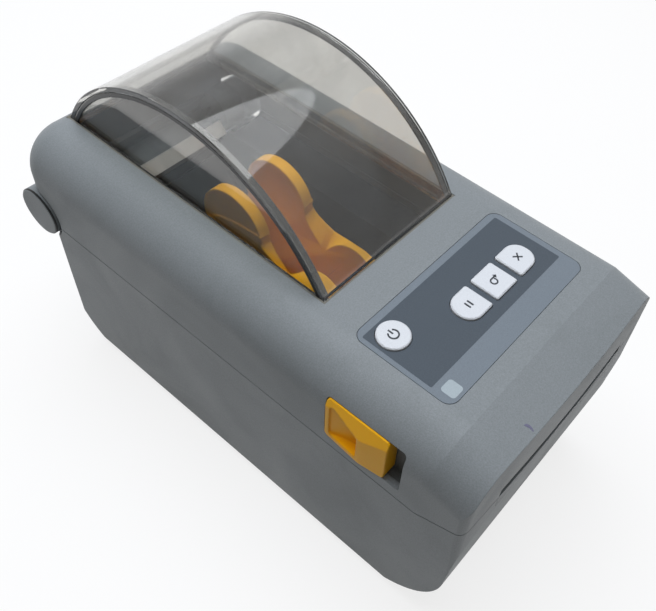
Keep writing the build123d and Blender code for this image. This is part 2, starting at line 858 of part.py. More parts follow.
def holder_rack():
    """Tongue through the trough floor and the rack of the left holder, teeth towards the pinion."""
    inner = -holder_x
    outer = inner - tongue_thickness
    high = rack_top()
    low = high - rack_height
    y = roll_y - tongue_y
    front = y - tongue_width / 2
    root_y = roll_y - module * pinion_teeth / 2 - 1.25 * module
    tip_y = root_y + 2.1 * module
    end = holder_travel + 8.0
    tongue = box(outer, inner, front, y + tongue_width / 2, high, high + 21.6)
    rack = box(outer, end, root_y - rack_back, root_y, low, high + 0.1)
    rack += box(outer, inner, front, root_y, low, high + 0.1)
    pitch = pi * module
    for i in range(-3, round(end / pitch)):
        x = (i + 0.5) * pitch
        tooth = polygon([(x - 0.78, root_y - 0.2), (x - 0.24, tip_y), (x + 0.24, tip_y), (x + 0.78, root_y - 0.2)])
        rack += extrude(Plane.XY.offset(low) * tooth, rack_height)
    return tongue + rack


def gear_face(teeth, phase, bore):
    """Spur gear outline; phase is the angle of one tooth's middle, in radians."""
    pitch_radius = module * teeth / 2
    tip = pitch_radius + 0.9 * module
    root = pitch_radius - 1.2 * module
    points = []
    for i in range(teeth):
        angle = phase + 2 * pi * i / teeth
        for radius, width in ((root, 0.62), (pitch_radius, 0.44), (tip, 0.22)):
            points.append((radius, angle - width * pi / teeth))
        for radius, width in ((tip, 0.22), (pitch_radius, 0.44), (root, 0.62)):
            points.append((radius, angle + width * pi / teeth))
    outline = polygon([(r * cos(a), r * sin(a)) for r, a in points])
    return outline - Circle(bore)


def gear(place, teeth, phase, bore):
    face = gear_face(teeth, phase, bore)
    return side_prism(Pos(*place) * face, -gear_in - gear_width, -gear_in)


def idler_place():
    """Centre of the idler in (y, z), from the two gear sizes."""
    reach = module * (platen_teeth + idler_teeth) / 2
    return (platen_y + idler_back, platen_z - sqrt(reach ** 2 - idler_back ** 2))


def motor_place():
    y, z = idler_place()
    reach = module * (idler_teeth + motor_teeth) / 2
    return (y + reach * cos(radians(motor_angle)), z + reach * sin(radians(motor_angle)))


def gear_phases():
    """Tooth angles that put the three gears in mesh at rest."""
    iy, iz = idler_place()
    my, mz = motor_place()
    to_platen = atan2(platen_z - iz, platen_y - iy)
    to_motor = atan2(mz - iz, my - iy)
    platen = to_platen + pi + pi / platen_teeth
    lag = (to_motor - to_platen) % (2 * pi / idler_teeth)
    motor = to_motor + pi + lag * idler_teeth / motor_teeth + pi / motor_teeth
    return platen, to_platen, motor


def platen_roller():
    rubber = rod_x(platen_y, platen_z, platen_radius, -platen_half, platen_half)
    return rubber - rod_x(platen_y, platen_z, shaft_radius, -platen_half - 5, platen_half + 5)


def platen_shaft():
    left = -gear_in - gear_width - gear_end
    return rod_x(platen_y, platen_z, shaft_radius, left, plate_in + plate_thickness + 1.2)


def platen_gear():
    return gear((platen_y, platen_z), platen_teeth, gear_phases()[0], shaft_radius)


def idler_gear():
    return gear(idler_place(), idler_teeth, gear_phases()[1], stud_radius + run_gap)


def idler_stud():
    y, z = idler_place()
    outer = -gear_in - gear_width
    stud = rod_x(y, z, stud_radius, outer - 0.8, -plate_in)
    return stud + rod_x(y, z, stud_radius + 1.2, outer - 1.6, outer - 0.4)


def motor_pinion():
    """Pinion on the end of the motor's shaft."""
    y, z = motor_place()
    shaft = rod_x(y, z, motor_shaft_radius, -gear_in - gear_width - 1.0, -plate_in - plate_thickness + 0.3)
    return gear((y, z), motor_teeth, gear_phases()[2], motor_shaft_radius - 0.5) + shaft


def feed_motor():
    y, z = motor_place()
    face = -plate_in - plate_thickness
    can = rod_x(y, z, motor_radius, -plate_in, -plate_in + motor_length)
    can += rod_x(y, z, motor_boss, face, -plate_in)
    return can - rod_x(y, z, motor_shaft_radius + run_gap, face - 1, face + 0.6)


def platen_bush():
    outer = -plate_in - plate_thickness
    ring = rod_x(platen_y, platen_z, bush_radius, outer, -plate_in)
    ring += rod_x(platen_y, platen_z, bush_radius + bush_rim, -plate_in, -plate_in + bush_flange)
    return ring - rod_x(platen_y, platen_z, shaft_radius + run_gap, outer - 5, 0)


def chassis():
    """Inner frame on the base floor: two plates for the roller and the drive, joined by a deck."""
    front = front_y + bezel_depth
    rear = deck_front - 4.0
    low = floor_z + 17.0
    deck_top = part_z + 0.5
    high = platen_z + 2.0
    outline = polygon([
        (front, high), (front, low + 28.0), (platen_y + 6.0, low),
        (rear - 18.0, low), (rear - 18.0, floor_z), (rear - 4.0, floor_z), (rear - 4.0, low),
        (rear, low), (rear, deck_top), (platen_y + 9.0, deck_top), (platen_y + 8.0, high),
    ])
    outline += Pos(platen_y, platen_z) * Circle(bush_radius + 2.9)
    left = side_prism(outline, -plate_in - plate_thickness, -plate_in)
    right = side_prism(outline, plate_in, plate_in + plate_thickness)
    left = left - rod_x(*motor_place(), motor_boss, -total_width, 0)
    left = left - rod_x(*idler_place(), stud_radius, -total_width, 0)
    deck = box(-plate_in, plate_in, platen_y + 10.0, deck_front - 0.4, deck_top - 2.0, deck_top)
    reach = sensor_travel + sensor_half + 2
    deck -= box(-reach, reach, rail_y - 4.2, rail_y + 4.2, deck_top - 5, deck_top + 5)
    beam = box(-plate_in, plate_in, rear - 6.0, rear - 2.0, low, low + 5.0)
    frame = left + right + deck + beam
    frame -= rod_x(platen_y, platen_z, bush_radius, -total_width, total_width)
    return frame - rod_x(rail_y, rail_z, rail_radius, -total_width, total_width)


def sensor_rail():
    end = plate_in + plate_thickness
    return rod_x(rail_y, rail_z, rail_radius, -end, end)


def media_sensor():
    """Sliding sensor block, flush with the deck, with a small optical window."""
    top = part_z + 0.4
    block = box(-sensor_half, sensor_half, rail_y - 3.6, rail_y + 3.6, rail_z - 3.0, top)
    block = chamfer(block.edges().group_by(Axis.Z)[-1], 0.5)
    block -= rod_x(rail_y, rail_z, rail_radius + run_gap, -total_width, total_width)
    return block - box(-1.5, 1.5, rail_y - 1.5, rail_y + 1.5, top - 0.4, top + 1)


def head_bracket():
    """Steel bracket that presses the printhead down, with pivot pins at its rear."""
    front = platen_y - 7.0
    high = bracket_z + bracket_thickness
    bracket = box(-bracket_half, bracket_half, front, pivot_y + 2.0, bracket_z, high)
    bracket -= box(-22.0, 22.0, pivot_y - 8.0, pivot_y - 2.0, bracket_z - 5, high + 5)
    for side in (-1, 1):
        ear = sorted((side * (bracket_half - 1.5), side * bracket_half))
        bracket += box(*ear, pivot_y - 4.0, pivot_y + 4.0, pivot_z - 3.0, high)
        pin = sorted((side * bracket_half, side * (cheek_in + cheek_thickness + 0.1)))
        bracket += rod_x(pivot_y, pivot_z, pivot_radius, *pin)
        bracket += rod_z(side * spring_x, spring_y, spring_radius - 1.0, high, high + 2.0)
    return bracket


def strip_low():
    return platen_z + platen_radius + head_gap


def print_head():
    """Finned aluminium sink of the printhead."""
    front = platen_y - 7.0
    low = strip_low() + strip_thickness
    sink = box(-head_half, head_half, front, front + sink_length, low, bracket_z)
    fins = 9
    for i in range(fins):
        x = (i - (fins - 1) / 2) * 6.0
        sink -= box(x - 1.2, x + 1.2, front - 1, front + 4.5, low + 2.0, bracket_z - 1.5)
    return sink


def head_strip():
    """Ceramic heater strip under the sink, just over the roller."""
    low = strip_low()
    front = platen_y - strip_length / 2 + 0.5
    return box(-head_half, head_half, front, front + strip_length, low, low + strip_thickness)


def head_spring(x):
    """Coil spring between the bracket and the carrier."""
    low = bracket_z + bracket_thickness + wire_radius
    height = cradle_z - wire_radius - low
    path = Helix(pitch=height / spring_turns, height=height, radius=spring_radius)
    profile = Plane(origin=path @ 0, z_dir=path % 0) * RegularPolygon(wire_radius, 4)
    return Pos(x, spring_y, low) * sweep(profile, path=path)


def head_cradle():
    """Dark carrier inside the nose: top plate on posts, two cheeks for the head pivots, a rear wall."""
    front = platen_y - 11.0
    rear = window_front - flange - 1.0
    high = cradle_z + cradle_thickness
    plate = box(-cradle_half, cradle_half, front, rear, cradle_z, high)
    wall_low = pivot_z - 9.0
    cradle = plate + box(-cradle_half, cradle_half, rear - 2.0, rear, wall_low, cradle_z)
    cheek = box(cheek_in, cheek_in + cheek_thickness, front + 1.0, rear - 2.0, pivot_z - 4.0, cradle_z)
    cheek -= rod_x(pivot_y, pivot_z, pivot_radius + run_gap, 0, total_width)
    cradle = cradle + cheek + mirror_x(cheek)
    posts = [rod_z(side * (panel_half - 0.2), pivot_y - 10.0, 2.0, high, total_height) for side in (-1, 1)]
    return cradle + (posts[0] + posts[1] & cover_solid(wall))


def main_board():
    board = box(-board_half, board_half, board_front, board_rear, board_z, board_top)
    for x, y in board_spots():
        board -= rod_z(x, y, 1.6, board_z - 5, board_top + 5)
    return board


def board_parts():
    """Chips, capacitors and headers on the board."""
    low = board_top
    side = board_half - 14.0
    parts = [
        box(-10.0, 8.0, board_front + 14.0, board_front + 32.0, low, low + 2.0),
        box(side - 12.0, side, board_front + 16.0, board_front + 26.0, low, low + 1.6),
        box(-board_half + 8.0, -board_half + 18.0, board_front + 18.0, board_front + 40.0, low, low + 4.0),
        box(side, side + 10.0, board_rear - 32.0, board_rear - 20.0, low, low + 2.2),
    ]
    for step in range(3):
        parts.append(rod_z(-board_half + 6.0 + 8.0 * step, board_rear - 22.0, 3.2, low, low + 7.0))
    return Compound(children=parts)


def socket_front():
    return pocket_y - pocket_wall


def power_socket():
    """Round low-voltage socket with its contact pins at the back."""
    z = board_top + 6.5
    front = socket_front()
    back = front - socket_depth
    body = box(inlet_x - 6.5, inlet_x + 6.5, back, front, board_top, board_top + 13.0)
    body -= rod_y(inlet_x, z, socket_radius - 0.5, back + 4.0, front + 5)
    for dx, dz in ((-1.8, 0.0), (1.8, 0.0), (0.0, 1.8)):
        body += rod_y(inlet_x + dx, z + dz, 0.5, back + 3.0, back + 9.0)
    return body


def usb_socket():
    front = socket_front()
    back = front - socket_depth
    low = board_top
    body = box(usb_x - 6.0, usb_x + 6.0, back, front, low, low + 11.0)
    body -= box(usb_x - 4.2, usb_x + 4.2, back + 4.0, front + 5, low + 1.6, low + 9.4)
    return body + box(usb_x - 2.8, usb_x + 2.8, back + 3.5, back + 10.0, low + 4.0, low + 7.0)


def host_socket():
    front = socket_front()
    back = front - socket_depth
    low = board_top
    body = box(host_x - 7.2, host_x + 7.2, back, front, low, low + 7.2)
    body -= box(host_x - 6.2, host_x + 6.2, back + 4.0, front + 5, low + 1.3, low + 6.3)
    return body + box(host_x - 5.5, host_x + 5.5, back + 3.5, back + 9.5, low + 4.4, low + 5.8)


def option_plate():
    """Blank plate over the spare module bay at the right of the pocket."""
    return box(pocket_half - 11.5, pocket_half - 1.5, pocket_y, pocket_y + 1.2, pocket_low + 4, pocket_high - 3)


def rack_pinion():
    face = gear_face(pinion_teeth, pi / 2, post_radius + run_gap)
    return extrude(Plane.XY.offset(rack_top() - rack_height) * (Pos(0, roll_y) * face), rack_height)


def pinion_post():
    """Post under the trough that the rack pinion turns on, with a collar below it."""
    low = rack_top() - rack_height - 0.1
    post = rod_z(0, roll_y, post_radius, low, roll_z - well_radius + 0.4)
    return post + rod_z(0, roll_y, post_collar, low - collar_thickness, low)


def turned(shape):
    """The same piece turned half a turn about the pinion's axis."""
    return Pos(0, 2 * roll_y, 0) * (Rot(0, 0, 180) * shape)


def build():
    parts = {
        "base_shell": base_shell(),
        "cover_shell": cover_shell(),
        "cover_window": cover_window(),
        "window_seal": window_seal(),
        "panel_overlay": panel_overlay(),
        "panel_field": panel_field(),
        "panel_mark": panel_mark(),
        "keypad_board": keypad_board(),
        "latch_left": latch(),
        "latch_right": mirror_x(latch()),
        "latch_guide_left": latch_guide(),
        "latch_guide_right": mirror_x(latch_guide()),
        "front_bezel": front_bezel(),
        "tear_bar": tear_bar(),
        "hinge_pin_left": hinge_pin(),
        "hinge_pin_right": mirror_x(hinge_pin()),
        "hinge_cap_left": hinge_cap(),
        "hinge_cap_right": mirror_x(hinge_cap()),
        "media_well": media_well(),
        "guide_bar": guide_bar(),
        "chassis": chassis(),
        "platen_roller": platen_roller(),
        "platen_shaft": platen_shaft(),
        "platen_gear": platen_gear(),
        "platen_bush_left": platen_bush(),
        "platen_bush_right": mirror_x(platen_bush()),
        "idler_gear": idler_gear(),
        "idler_stud": idler_stud(),
        "motor_pinion": motor_pinion(),
        "feed_motor": feed_motor(),
        "sensor_rail": sensor_rail(),
        "media_sensor": media_sensor(),
        "head_bracket": head_bracket(),
        "print_head": print_head(),
        "head_strip": head_strip(),
        "head_spring_left": head_spring(-spring_x),
        "head_spring_right": head_spring(spring_x),
        "head_cradle": head_cradle(),
        "main_board": main_board(),
        "board_parts": board_parts(),
        "power_socket": power_socket(),
        "usb_socket": usb_socket(),
        "host_socket": host_socket(),
        "option_plate": option_plate(),
        "rack_pinion": rack_pinion(),
        "pinion_post": pinion_post(),
        "case_screws": case_screws(),
    }
    parts["roll_holder_left"] = holder_plate() + holder_rack()
    parts["roll_holder_right"] = mirror_x(holder_plate()) + turned(holder_rack())
    key_names = ["power_key", "pause_key", "feed_key", "cancel_key"]
    for name, face in zip(key_names, key_faces()):
        parts[name] = key_body(face)
    for number, spot in enumerate(foot_spots(), 1):
        parts[f"foot_{number}"] = foot(*spot)
    return parts


os.makedirs("parts", exist_ok=True)
for name, shape in build().items():
    export_step(shape, f"parts/{name}.step")
    size = shape.bounding_box()
    low = [round(v, 1) for v in size.min]
    high = [round(v, 1) for v in size.max]
    print(name, "solids", len(shape.solids()), "min", low, "max", high)
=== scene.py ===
# Desktop label printer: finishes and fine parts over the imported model.
# Metres, Z up, the front faces -Y.
import math

import bmesh
import bpy
from mathutils import Matrix, Vector


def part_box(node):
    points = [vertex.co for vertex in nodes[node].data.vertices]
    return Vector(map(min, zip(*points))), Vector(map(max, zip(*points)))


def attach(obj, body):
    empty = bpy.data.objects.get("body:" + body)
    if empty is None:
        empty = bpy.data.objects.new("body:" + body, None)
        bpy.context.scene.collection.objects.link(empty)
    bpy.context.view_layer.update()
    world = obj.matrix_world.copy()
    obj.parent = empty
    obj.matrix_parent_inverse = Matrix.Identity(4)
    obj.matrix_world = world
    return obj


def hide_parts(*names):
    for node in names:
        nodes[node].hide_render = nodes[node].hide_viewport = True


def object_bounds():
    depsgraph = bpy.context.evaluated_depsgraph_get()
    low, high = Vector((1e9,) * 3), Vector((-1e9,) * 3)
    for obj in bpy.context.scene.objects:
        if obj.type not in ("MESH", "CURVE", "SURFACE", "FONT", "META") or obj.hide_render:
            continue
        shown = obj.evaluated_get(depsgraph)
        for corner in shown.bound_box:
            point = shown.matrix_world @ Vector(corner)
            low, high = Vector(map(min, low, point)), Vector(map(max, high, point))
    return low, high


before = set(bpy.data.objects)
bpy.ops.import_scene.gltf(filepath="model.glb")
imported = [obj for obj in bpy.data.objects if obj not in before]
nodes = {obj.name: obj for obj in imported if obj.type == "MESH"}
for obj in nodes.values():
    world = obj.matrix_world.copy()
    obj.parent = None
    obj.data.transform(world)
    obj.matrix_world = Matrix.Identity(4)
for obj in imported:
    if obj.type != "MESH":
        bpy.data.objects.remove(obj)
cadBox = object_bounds()
mm = 0.001
print("frame loaded:", len(nodes), "nodes")


def linear(hexColour):
    parts = [int(hexColour[i:i + 2], 16) / 255 for i in (1, 3, 5)]
    return (*[p / 12.92 if p <= 0.04045 else ((p + 0.055) / 1.055) ** 2.4 for p in parts], 1.0)


# adds a node with its own settings; inputs holds a value or another node's output for each socket
def addNode(tree, kind, inputs=None, **settings):
    node = tree.nodes.new(kind)
    for name, value in settings.items():
        setattr(node, name, value)
    for key, value in (inputs or {}).items():
        if isinstance(value, bpy.types.NodeSocket):
            tree.links.new(value, node.inputs[key])
        else:
            node.inputs[key].default_value = value
    return node


def newFinish(name):
    material = bpy.data.materials.new(name)
    material.use_nodes = True
    tree = material.node_tree
    tree.nodes.clear()
    place = addNode(tree, "ShaderNodeTexCoord").outputs["Object"]
    return material, tree, place


def meshPiece(name, points, faces):
    mesh = bpy.data.meshes.new(name)
    mesh.from_pydata(points, [], faces)
    piece = bpy.data.objects.new(name, mesh)
    bpy.context.scene.collection.objects.link(piece)
    return piece


# camera, fitted to the photograph's own lens and place
cameraView = {
    "place": (-0.157557, -0.140634, 0.311213),
    "turnDegrees": (40.2473, -3.8511, -49.905),
    "lensMm": 43.963,
    "shift": (-0.0729, -0.0229),
}


def setCamera(view):
    data = bpy.data.cameras.new("photoCamera")
    data.sensor_width = 36.0
    data.lens = view["lensMm"]
    data.shift_x, data.shift_y = view["shift"]
    data.clip_start, data.clip_end = 0.01, 20.0
    camera = bpy.data.objects.new("photoCamera", data)
    camera.location = view["place"]
    camera.rotation_euler = [math.radians(a) for a in view["turnDegrees"]]
    bpy.context.scene.collection.objects.link(camera)
    bpy.context.scene.camera = camera


setCamera(cameraView)
bpy.context.scene.view_settings.view_transform = "Standard"

# one broad soft lamp overhead, a weak one from the front left, and an even pale surround;
# mirrorBands is what the glossy window mirrors, by the angle round the object from the rear horizon, made wavy
studio = {
    "overheadWatts": 14.7,
    "overheadSize": 1.1,
    "overheadPlace": (0.10, 0.18, 1.05),
    "overheadColour": "#f4f8ff",
    "sideWatts": 0.42,
    "sideSize": 0.6,
    "sidePlace": (-0.9, -0.7, 0.55),
    "sideColour": "#fff6ea",
    "lampAim": (0, 0, 0.06),
    "surround": "#a09f98",
    "surroundStrength": 0.315,
    "floorBounce": "#8d8f92",
    "floorWhite": 0.80,
    "floorReach": 6.0,
    "waveScale": 2.2,
    "wave": 0.10,
    "mirrorBands": [(0.0, 1.0), (0.09, 1.0), (0.14, 0.35), (0.19, 0.45), (0.27, 1.0), (0.36, 0.5), (0.42, 0.4),
                    (0.52, 0.95), (0.64, 0.85), (0.76, 0.30), (1.0, 0.30)],
}


def addLamp(name, place, aim, size, watts, colour):
    data = bpy.data.lights.new(name, "AREA")
    data.shape = "DISK"
    data.size = size
    data.energy = watts
    data.color = linear(colour)[:3]
    lamp = bpy.data.objects.new(name, data)
    lamp.visible_glossy = False  # the window mirrors the even surround, not the lamp's disc
    lamp.location = place
    lamp.rotation_euler = (Vector(aim) - Vector(place)).to_track_quat("-Z", "Y").to_euler()
    bpy.context.scene.collection.objects.link(lamp)


def setStudio(look):
    for kind in ("overhead", "side"):
        addLamp(kind + "Lamp", look[kind + "Place"], look["lampAim"], look[kind + "Size"], look[kind + "Watts"],
                look[kind + "Colour"])
    world = bpy.data.worlds.new("surround")
    bpy.context.scene.world = world
    world.use_nodes = True
    tree = world.node_tree
    tree.nodes.clear()
    path = addNode(tree, "ShaderNodeLightPath").outputs
    seen = addNode(tree, "ShaderNodeMath", {
        0: path["Is Camera Ray"], 1: path["Is Transmission Ray"]}, operation="MAXIMUM")
    light = addNode(tree, "ShaderNodeBackground", {
        "Color": linear(look["surround"]), "Strength": look["surroundStrength"]})
    white = addNode(tree, "ShaderNodeBackground", {"Color": (1, 1, 1, 1), "Strength": 1.0})
    way = addNode(tree, "ShaderNodeTexCoord").outputs["Generated"]
    parts = addNode(tree, "ShaderNodeSeparateXYZ", {0: way}).outputs
    angle = addNode(tree, "ShaderNodeMath", {0: parts["Z"], 1: parts["Y"]}, operation="ARCTAN2")
    share = addNode(tree, "ShaderNodeMath", {0: angle.outputs[0], 1: math.pi}, operation="DIVIDE")
    uneven = addNode(tree, "ShaderNodeTexNoise", {"Vector": way, "Scale": look["waveScale"], "Detail": 2.0})
    wavy = addNode(tree, "ShaderNodeMath", {
        0: uneven.outputs[0], 1: look["wave"], 2: share.outputs[0]}, operation="MULTIPLY_ADD")
    shifted = addNode(tree, "ShaderNodeMath", {0: wavy.outputs[0], 1: look["wave"] / 2}, operation="SUBTRACT")
    bands = addNode(tree, "ShaderNodeValToRGB", {0: shifted.outputs[0]})
    ramp = bands.color_ramp
    ramp.interpolation = "B_SPLINE"
    while len(ramp.elements) < len(look["mirrorBands"]):
        ramp.elements.new(0.5)
    # all places first, because a moved stop can change its turn in the list
    for element, (at, level) in zip(ramp.elements, look["mirrorBands"]):
        element.position = at
    for element, (at, level) in zip(ramp.elements, look["mirrorBands"]):
        element.color = (level, level, level, 1.0)
    mirrored = addNode(tree, "ShaderNodeBackground", {"Color": bands.outputs[0], "Strength": 1.0})
    mix = addNode(tree, "ShaderNodeMixShader", {0: path["Is Glossy Ray"], 1: light.outputs[0], 2: mirrored.outputs[0]})
    mix = addNode(tree, "ShaderNodeMixShader", {0: seen.outputs[0], 1: mix.outputs[0], 2: white.outputs[0]})
    addNode(tree, "ShaderNodeOutputWorld", {"Surface": mix.outputs[0]})


def makeFloor(look):
    # matt paper sweep: it reads white where it is seen, keeps the shadow and bounces little light
    material = bpy.data.materials.new("matt_paper_floor")
    material.use_nodes = True
    tree = material.node_tree
    tree.nodes.clear()
    path = addNode(tree, "ShaderNodeLightPath").outputs
    seen = addNode(tree, "ShaderNodeMath", {0: path["Is Camera Ray"], 1: path["Is Glossy Ray"]}, operation="MAXIMUM")
    seen = addNode(tree, "ShaderNodeMath", {0: seen.outputs[0], 1: path["Is Transmission Ray"]}, operation="MAXIMUM")
    paper = addNode(tree, "ShaderNodeBsdfDiffuse", {"Color": (0.9, 0.9, 0.9, 1)})
    glow = addNode(tree, "ShaderNodeEmission", {"Color": (1, 1, 1, 1), "Strength": 1.0})
    shown = addNode(tree, "ShaderNodeMixShader", {0: look["floorWhite"], 1: paper.outputs[0], 2: glow.outputs[0]})
    bounce = addNode(tree, "ShaderNodeBsdfDiffuse", {"Color": linear(look["floorBounce"])})
    mix = addNode(tree, "ShaderNodeMixShader", {0: seen.outputs[0], 1: bounce.outputs[0], 2: shown.outputs[0]})
    addNode(tree, "ShaderNodeOutputMaterial", {"Surface": mix.outputs[0]})
    reach = look["floorReach"]
    corners = [(-reach, -reach, 0), (reach, -reach, 0), (reach, reach, 0), (-reach, reach, 0)]
    floor = meshPiece("floor", corners, [(0, 1, 2, 3)])
    floor.data.materials.append(material)


setStudio(studio)
makeFloor(studio)
print("studio set")


# Injection-moulded plastic: the mould's spark texture gives a fine matt grain, use adds smudges
# and faint scuffs. Grain sizes are in millimetres, a little coarser than real so that they show.
def mouldedPlastic(name, look):
    material, tree, place = newFinish(name)
    grain = addNode(tree, "ShaderNodeTexNoise", {
        "Vector": place, "Scale": 1 / (look["grainMm"] * mm), "Detail": 3.0, "Roughness": 0.65})
    smudge = addNode(tree, "ShaderNodeTexNoise", {
        "Vector": place, "Scale": 1 / (look["smudgeMm"] * mm), "Detail": 5.0, "Roughness": 0.6, "Distortion": 0.8})
    worn = addNode(tree, "ShaderNodeMapRange", {"Value": smudge.outputs[0], "From Min": 0.5, "From Max": 0.8})
    streaks = addNode(tree, "ShaderNodeMapping", {
        "Vector": place, "Rotation": (0.4, 0.3, 0.9), "Scale": (60, 900, 300)})
    scuff = addNode(tree, "ShaderNodeTexNoise", {"Vector": streaks.outputs[0], "Scale": 1.0, "Detail": 1.0})
    scuffed = addNode(tree, "ShaderNodeMapRange", {"Value": scuff.outputs[0], "From Min": 0.72, "From Max": 0.80})
    spread = addNode(tree, "ShaderNodeMapRange", {"Value": grain.outputs[0], "From Min": 0.3, "From Max": 0.7})
    toned = addNode(tree, "ShaderNodeMix", {
        0: spread.outputs[0], 6: linear(look["low"]), 7: linear(look["high"])}, data_type="RGBA")
    soiled = addNode(tree, "ShaderNodeMath", {0: worn.outputs[0], 1: look["soil"]}, operation="MULTIPLY")
    toned = addNode(tree, "ShaderNodeMix", {
        0: soiled.outputs[0], 6: toned.outputs[2], 7: linear(look["soilColour"])}, data_type="RGBA")
    marked = addNode(tree, "ShaderNodeMath", {0: scuffed.outputs[0], 1: look["scuff"]}, operation="MULTIPLY")
    toned = addNode(tree, "ShaderNodeMix", {
        0: marked.outputs[0], 6: toned.outputs[2], 7: linear(look["high"])}, data_type="RGBA")
    if look.get("paintedShadeBeyond"):  # painted shade on the wall round a cap: (y, z) of its axis and the radius where the painted shade starts
        y, z, radius = (value * mm for value in look["paintedShadeBeyond"])
        away = addNode(tree, "ShaderNodeVectorMath", {0: place, 1: (0, y, z)}, operation="SUBTRACT")
        flat = addNode(tree, "ShaderNodeVectorMath", {0: away.outputs[0], 1: (0, 1, 1)}, operation="MULTIPLY")
        reach = addNode(tree, "ShaderNodeVectorMath", {0: flat.outputs[0]}, operation="LENGTH")
        wall = addNode(tree, "ShaderNodeMath", {0: reach.outputs["Value"], 1: radius}, operation="GREATER_THAN")
        toned = addNode(tree, "ShaderNodeMix", {
            0: wall.outputs[0], 6: toned.outputs[2], 7: linear(look["paintedShadeColour"])}, data_type="RGBA")
    rough = addNode(tree, "ShaderNodeMapRange", {
        "Value": smudge.outputs[0], "From Min": 0.3, "From Max": 0.7,
        "To Min": look["roughness"] - 0.05, "To Max": look["roughness"] + 0.07})
    rounded = addNode(tree, "ShaderNodeBevel", {"Radius": look["edgeMm"] * mm}, samples=4)
    bump = addNode(tree, "ShaderNodeBump", {
        "Height": grain.outputs[0], "Strength": look["bump"], "Distance": look["grainMm"] * 0.35 * mm,
        "Normal": rounded.outputs[0]})
    surface = addNode(tree, "ShaderNodeBsdfPrincipled", {
        "Base Color": toned.outputs[2], "Roughness": rough.outputs[0], "Normal": bump.outputs[0], "IOR": 1.5,
        "Subsurface Weight": look.get("glowThrough", 0.0), "Subsurface Scale": 5 * mm})
    if look.get("glowThrough"):  # red light goes deepest
        surface.inputs["Subsurface Radius"].default_value = (1.0, 0.5, 0.1)
    addNode(tree, "ShaderNodeOutputMaterial", {"Surface": surface.outputs[0]})
    return material


def worksMetal(name, look):
    material, tree, place = newFinish(name)
    lines = addNode(tree, "ShaderNodeMapping", {"Vector": place, "Scale": look["grainPerMetre"]})
    drawn = addNode(tree, "ShaderNodeTexNoise", {"Vector": lines.outputs[0], "Scale": 1.0, "Detail": 4.0})
    spots = addNode(tree, "ShaderNodeTexNoise", {"Vector": place, "Scale": 1 / (look["spotMm"] * mm), "Detail": 3.0})
    toned = addNode(tree, "ShaderNodeMix", {
        0: spots.outputs[0], 6: linear(look["low"]), 7: linear(look["high"])}, data_type="RGBA")
    rough = addNode(tree, "ShaderNodeMapRange", {
        "Value": drawn.outputs[0], "From Min": 0.3, "From Max": 0.7,
        "To Min": look["roughness"] - 0.08, "To Max": look["roughness"] + 0.08})
    bump = addNode(tree, "ShaderNodeBump", {"Height": drawn.outputs[0], "Strength": 0.15, "Distance": 0.00003})
    surface = addNode(tree, "ShaderNodeBsdfPrincipled", {
        "Base Color": toned.outputs[2], "Roughness": rough.outputs[0], "Normal": bump.outputs[0], "Metallic": 1.0})
    addNode(tree, "ShaderNodeOutputMaterial", {"Surface": surface.outputs[0]})
    return material


# Thermoformed polycarbonate, smoked grey: clear and glossy, with a haze of fine wiping scratches
def smokedPolycarbonate(name, look):
    material, tree, place = newFinish(name)
    path = addNode(tree, "ShaderNodeLightPath").outputs
    wipes = addNode(tree, "ShaderNodeMapping", {
        "Vector": place, "Rotation": (0.1, 0.25, 0.5), "Scale": (70, 2200, 900)})
    scratch = addNode(tree, "ShaderNodeTexNoise", {"Vector": wipes.outputs[0], "Scale": 1.0, "Detail": 2.0})
    scratched = addNode(tree, "ShaderNodeMapRange", {"Value": scratch.outputs[0], "From Min": 0.72, "From Max": 0.84})
    cloud = addNode(tree, "ShaderNodeTexNoise", {
        "Vector": place, "Scale": look["cloudPerMetre"], "Detail": 4.0, "Distortion": 1.2})
    clouded = addNode(tree, "ShaderNodeMapRange", {"Value": cloud.outputs[0], "From Min": 0.35, "From Max": 0.75})
    haze = addNode(tree, "ShaderNodeMath", {0: clouded.outputs[0], 1: look["cloud"]}, operation="MULTIPLY")
    lines = addNode(tree, "ShaderNodeMath", {
        0: scratched.outputs[0], 1: look["scratch"], 2: haze.outputs[0]}, operation="MULTIPLY_ADD")
    glass = addNode(tree, "ShaderNodeBsdfPrincipled", {
        "Base Color": linear(look["tint"]), "Roughness": look["roughness"], "IOR": 1.58, "Transmission Weight": 1.0})
    film = addNode(tree, "ShaderNodeBsdfDiffuse", {"Color": linear(look["dust"])})
    dusty = addNode(tree, "ShaderNodeMixShader", {0: lines.outputs[0], 1: glass.outputs[0], 2: film.outputs[0]})
    through = addNode(tree, "ShaderNodeBsdfTransparent", {"Color": linear(look["lampTint"])})
    lamps = addNode(tree, "ShaderNodeMath", {
        0: path["Is Shadow Ray"], 1: path["Is Diffuse Ray"]}, operation="MAXIMUM")
    mix = addNode(tree, "ShaderNodeMixShader", {0: lamps.outputs[0], 1: dusty.outputs[0], 2: through.outputs[0]})
    addNode(tree, "ShaderNodeOutputMaterial", {"Surface": mix.outputs[0]})
    return material


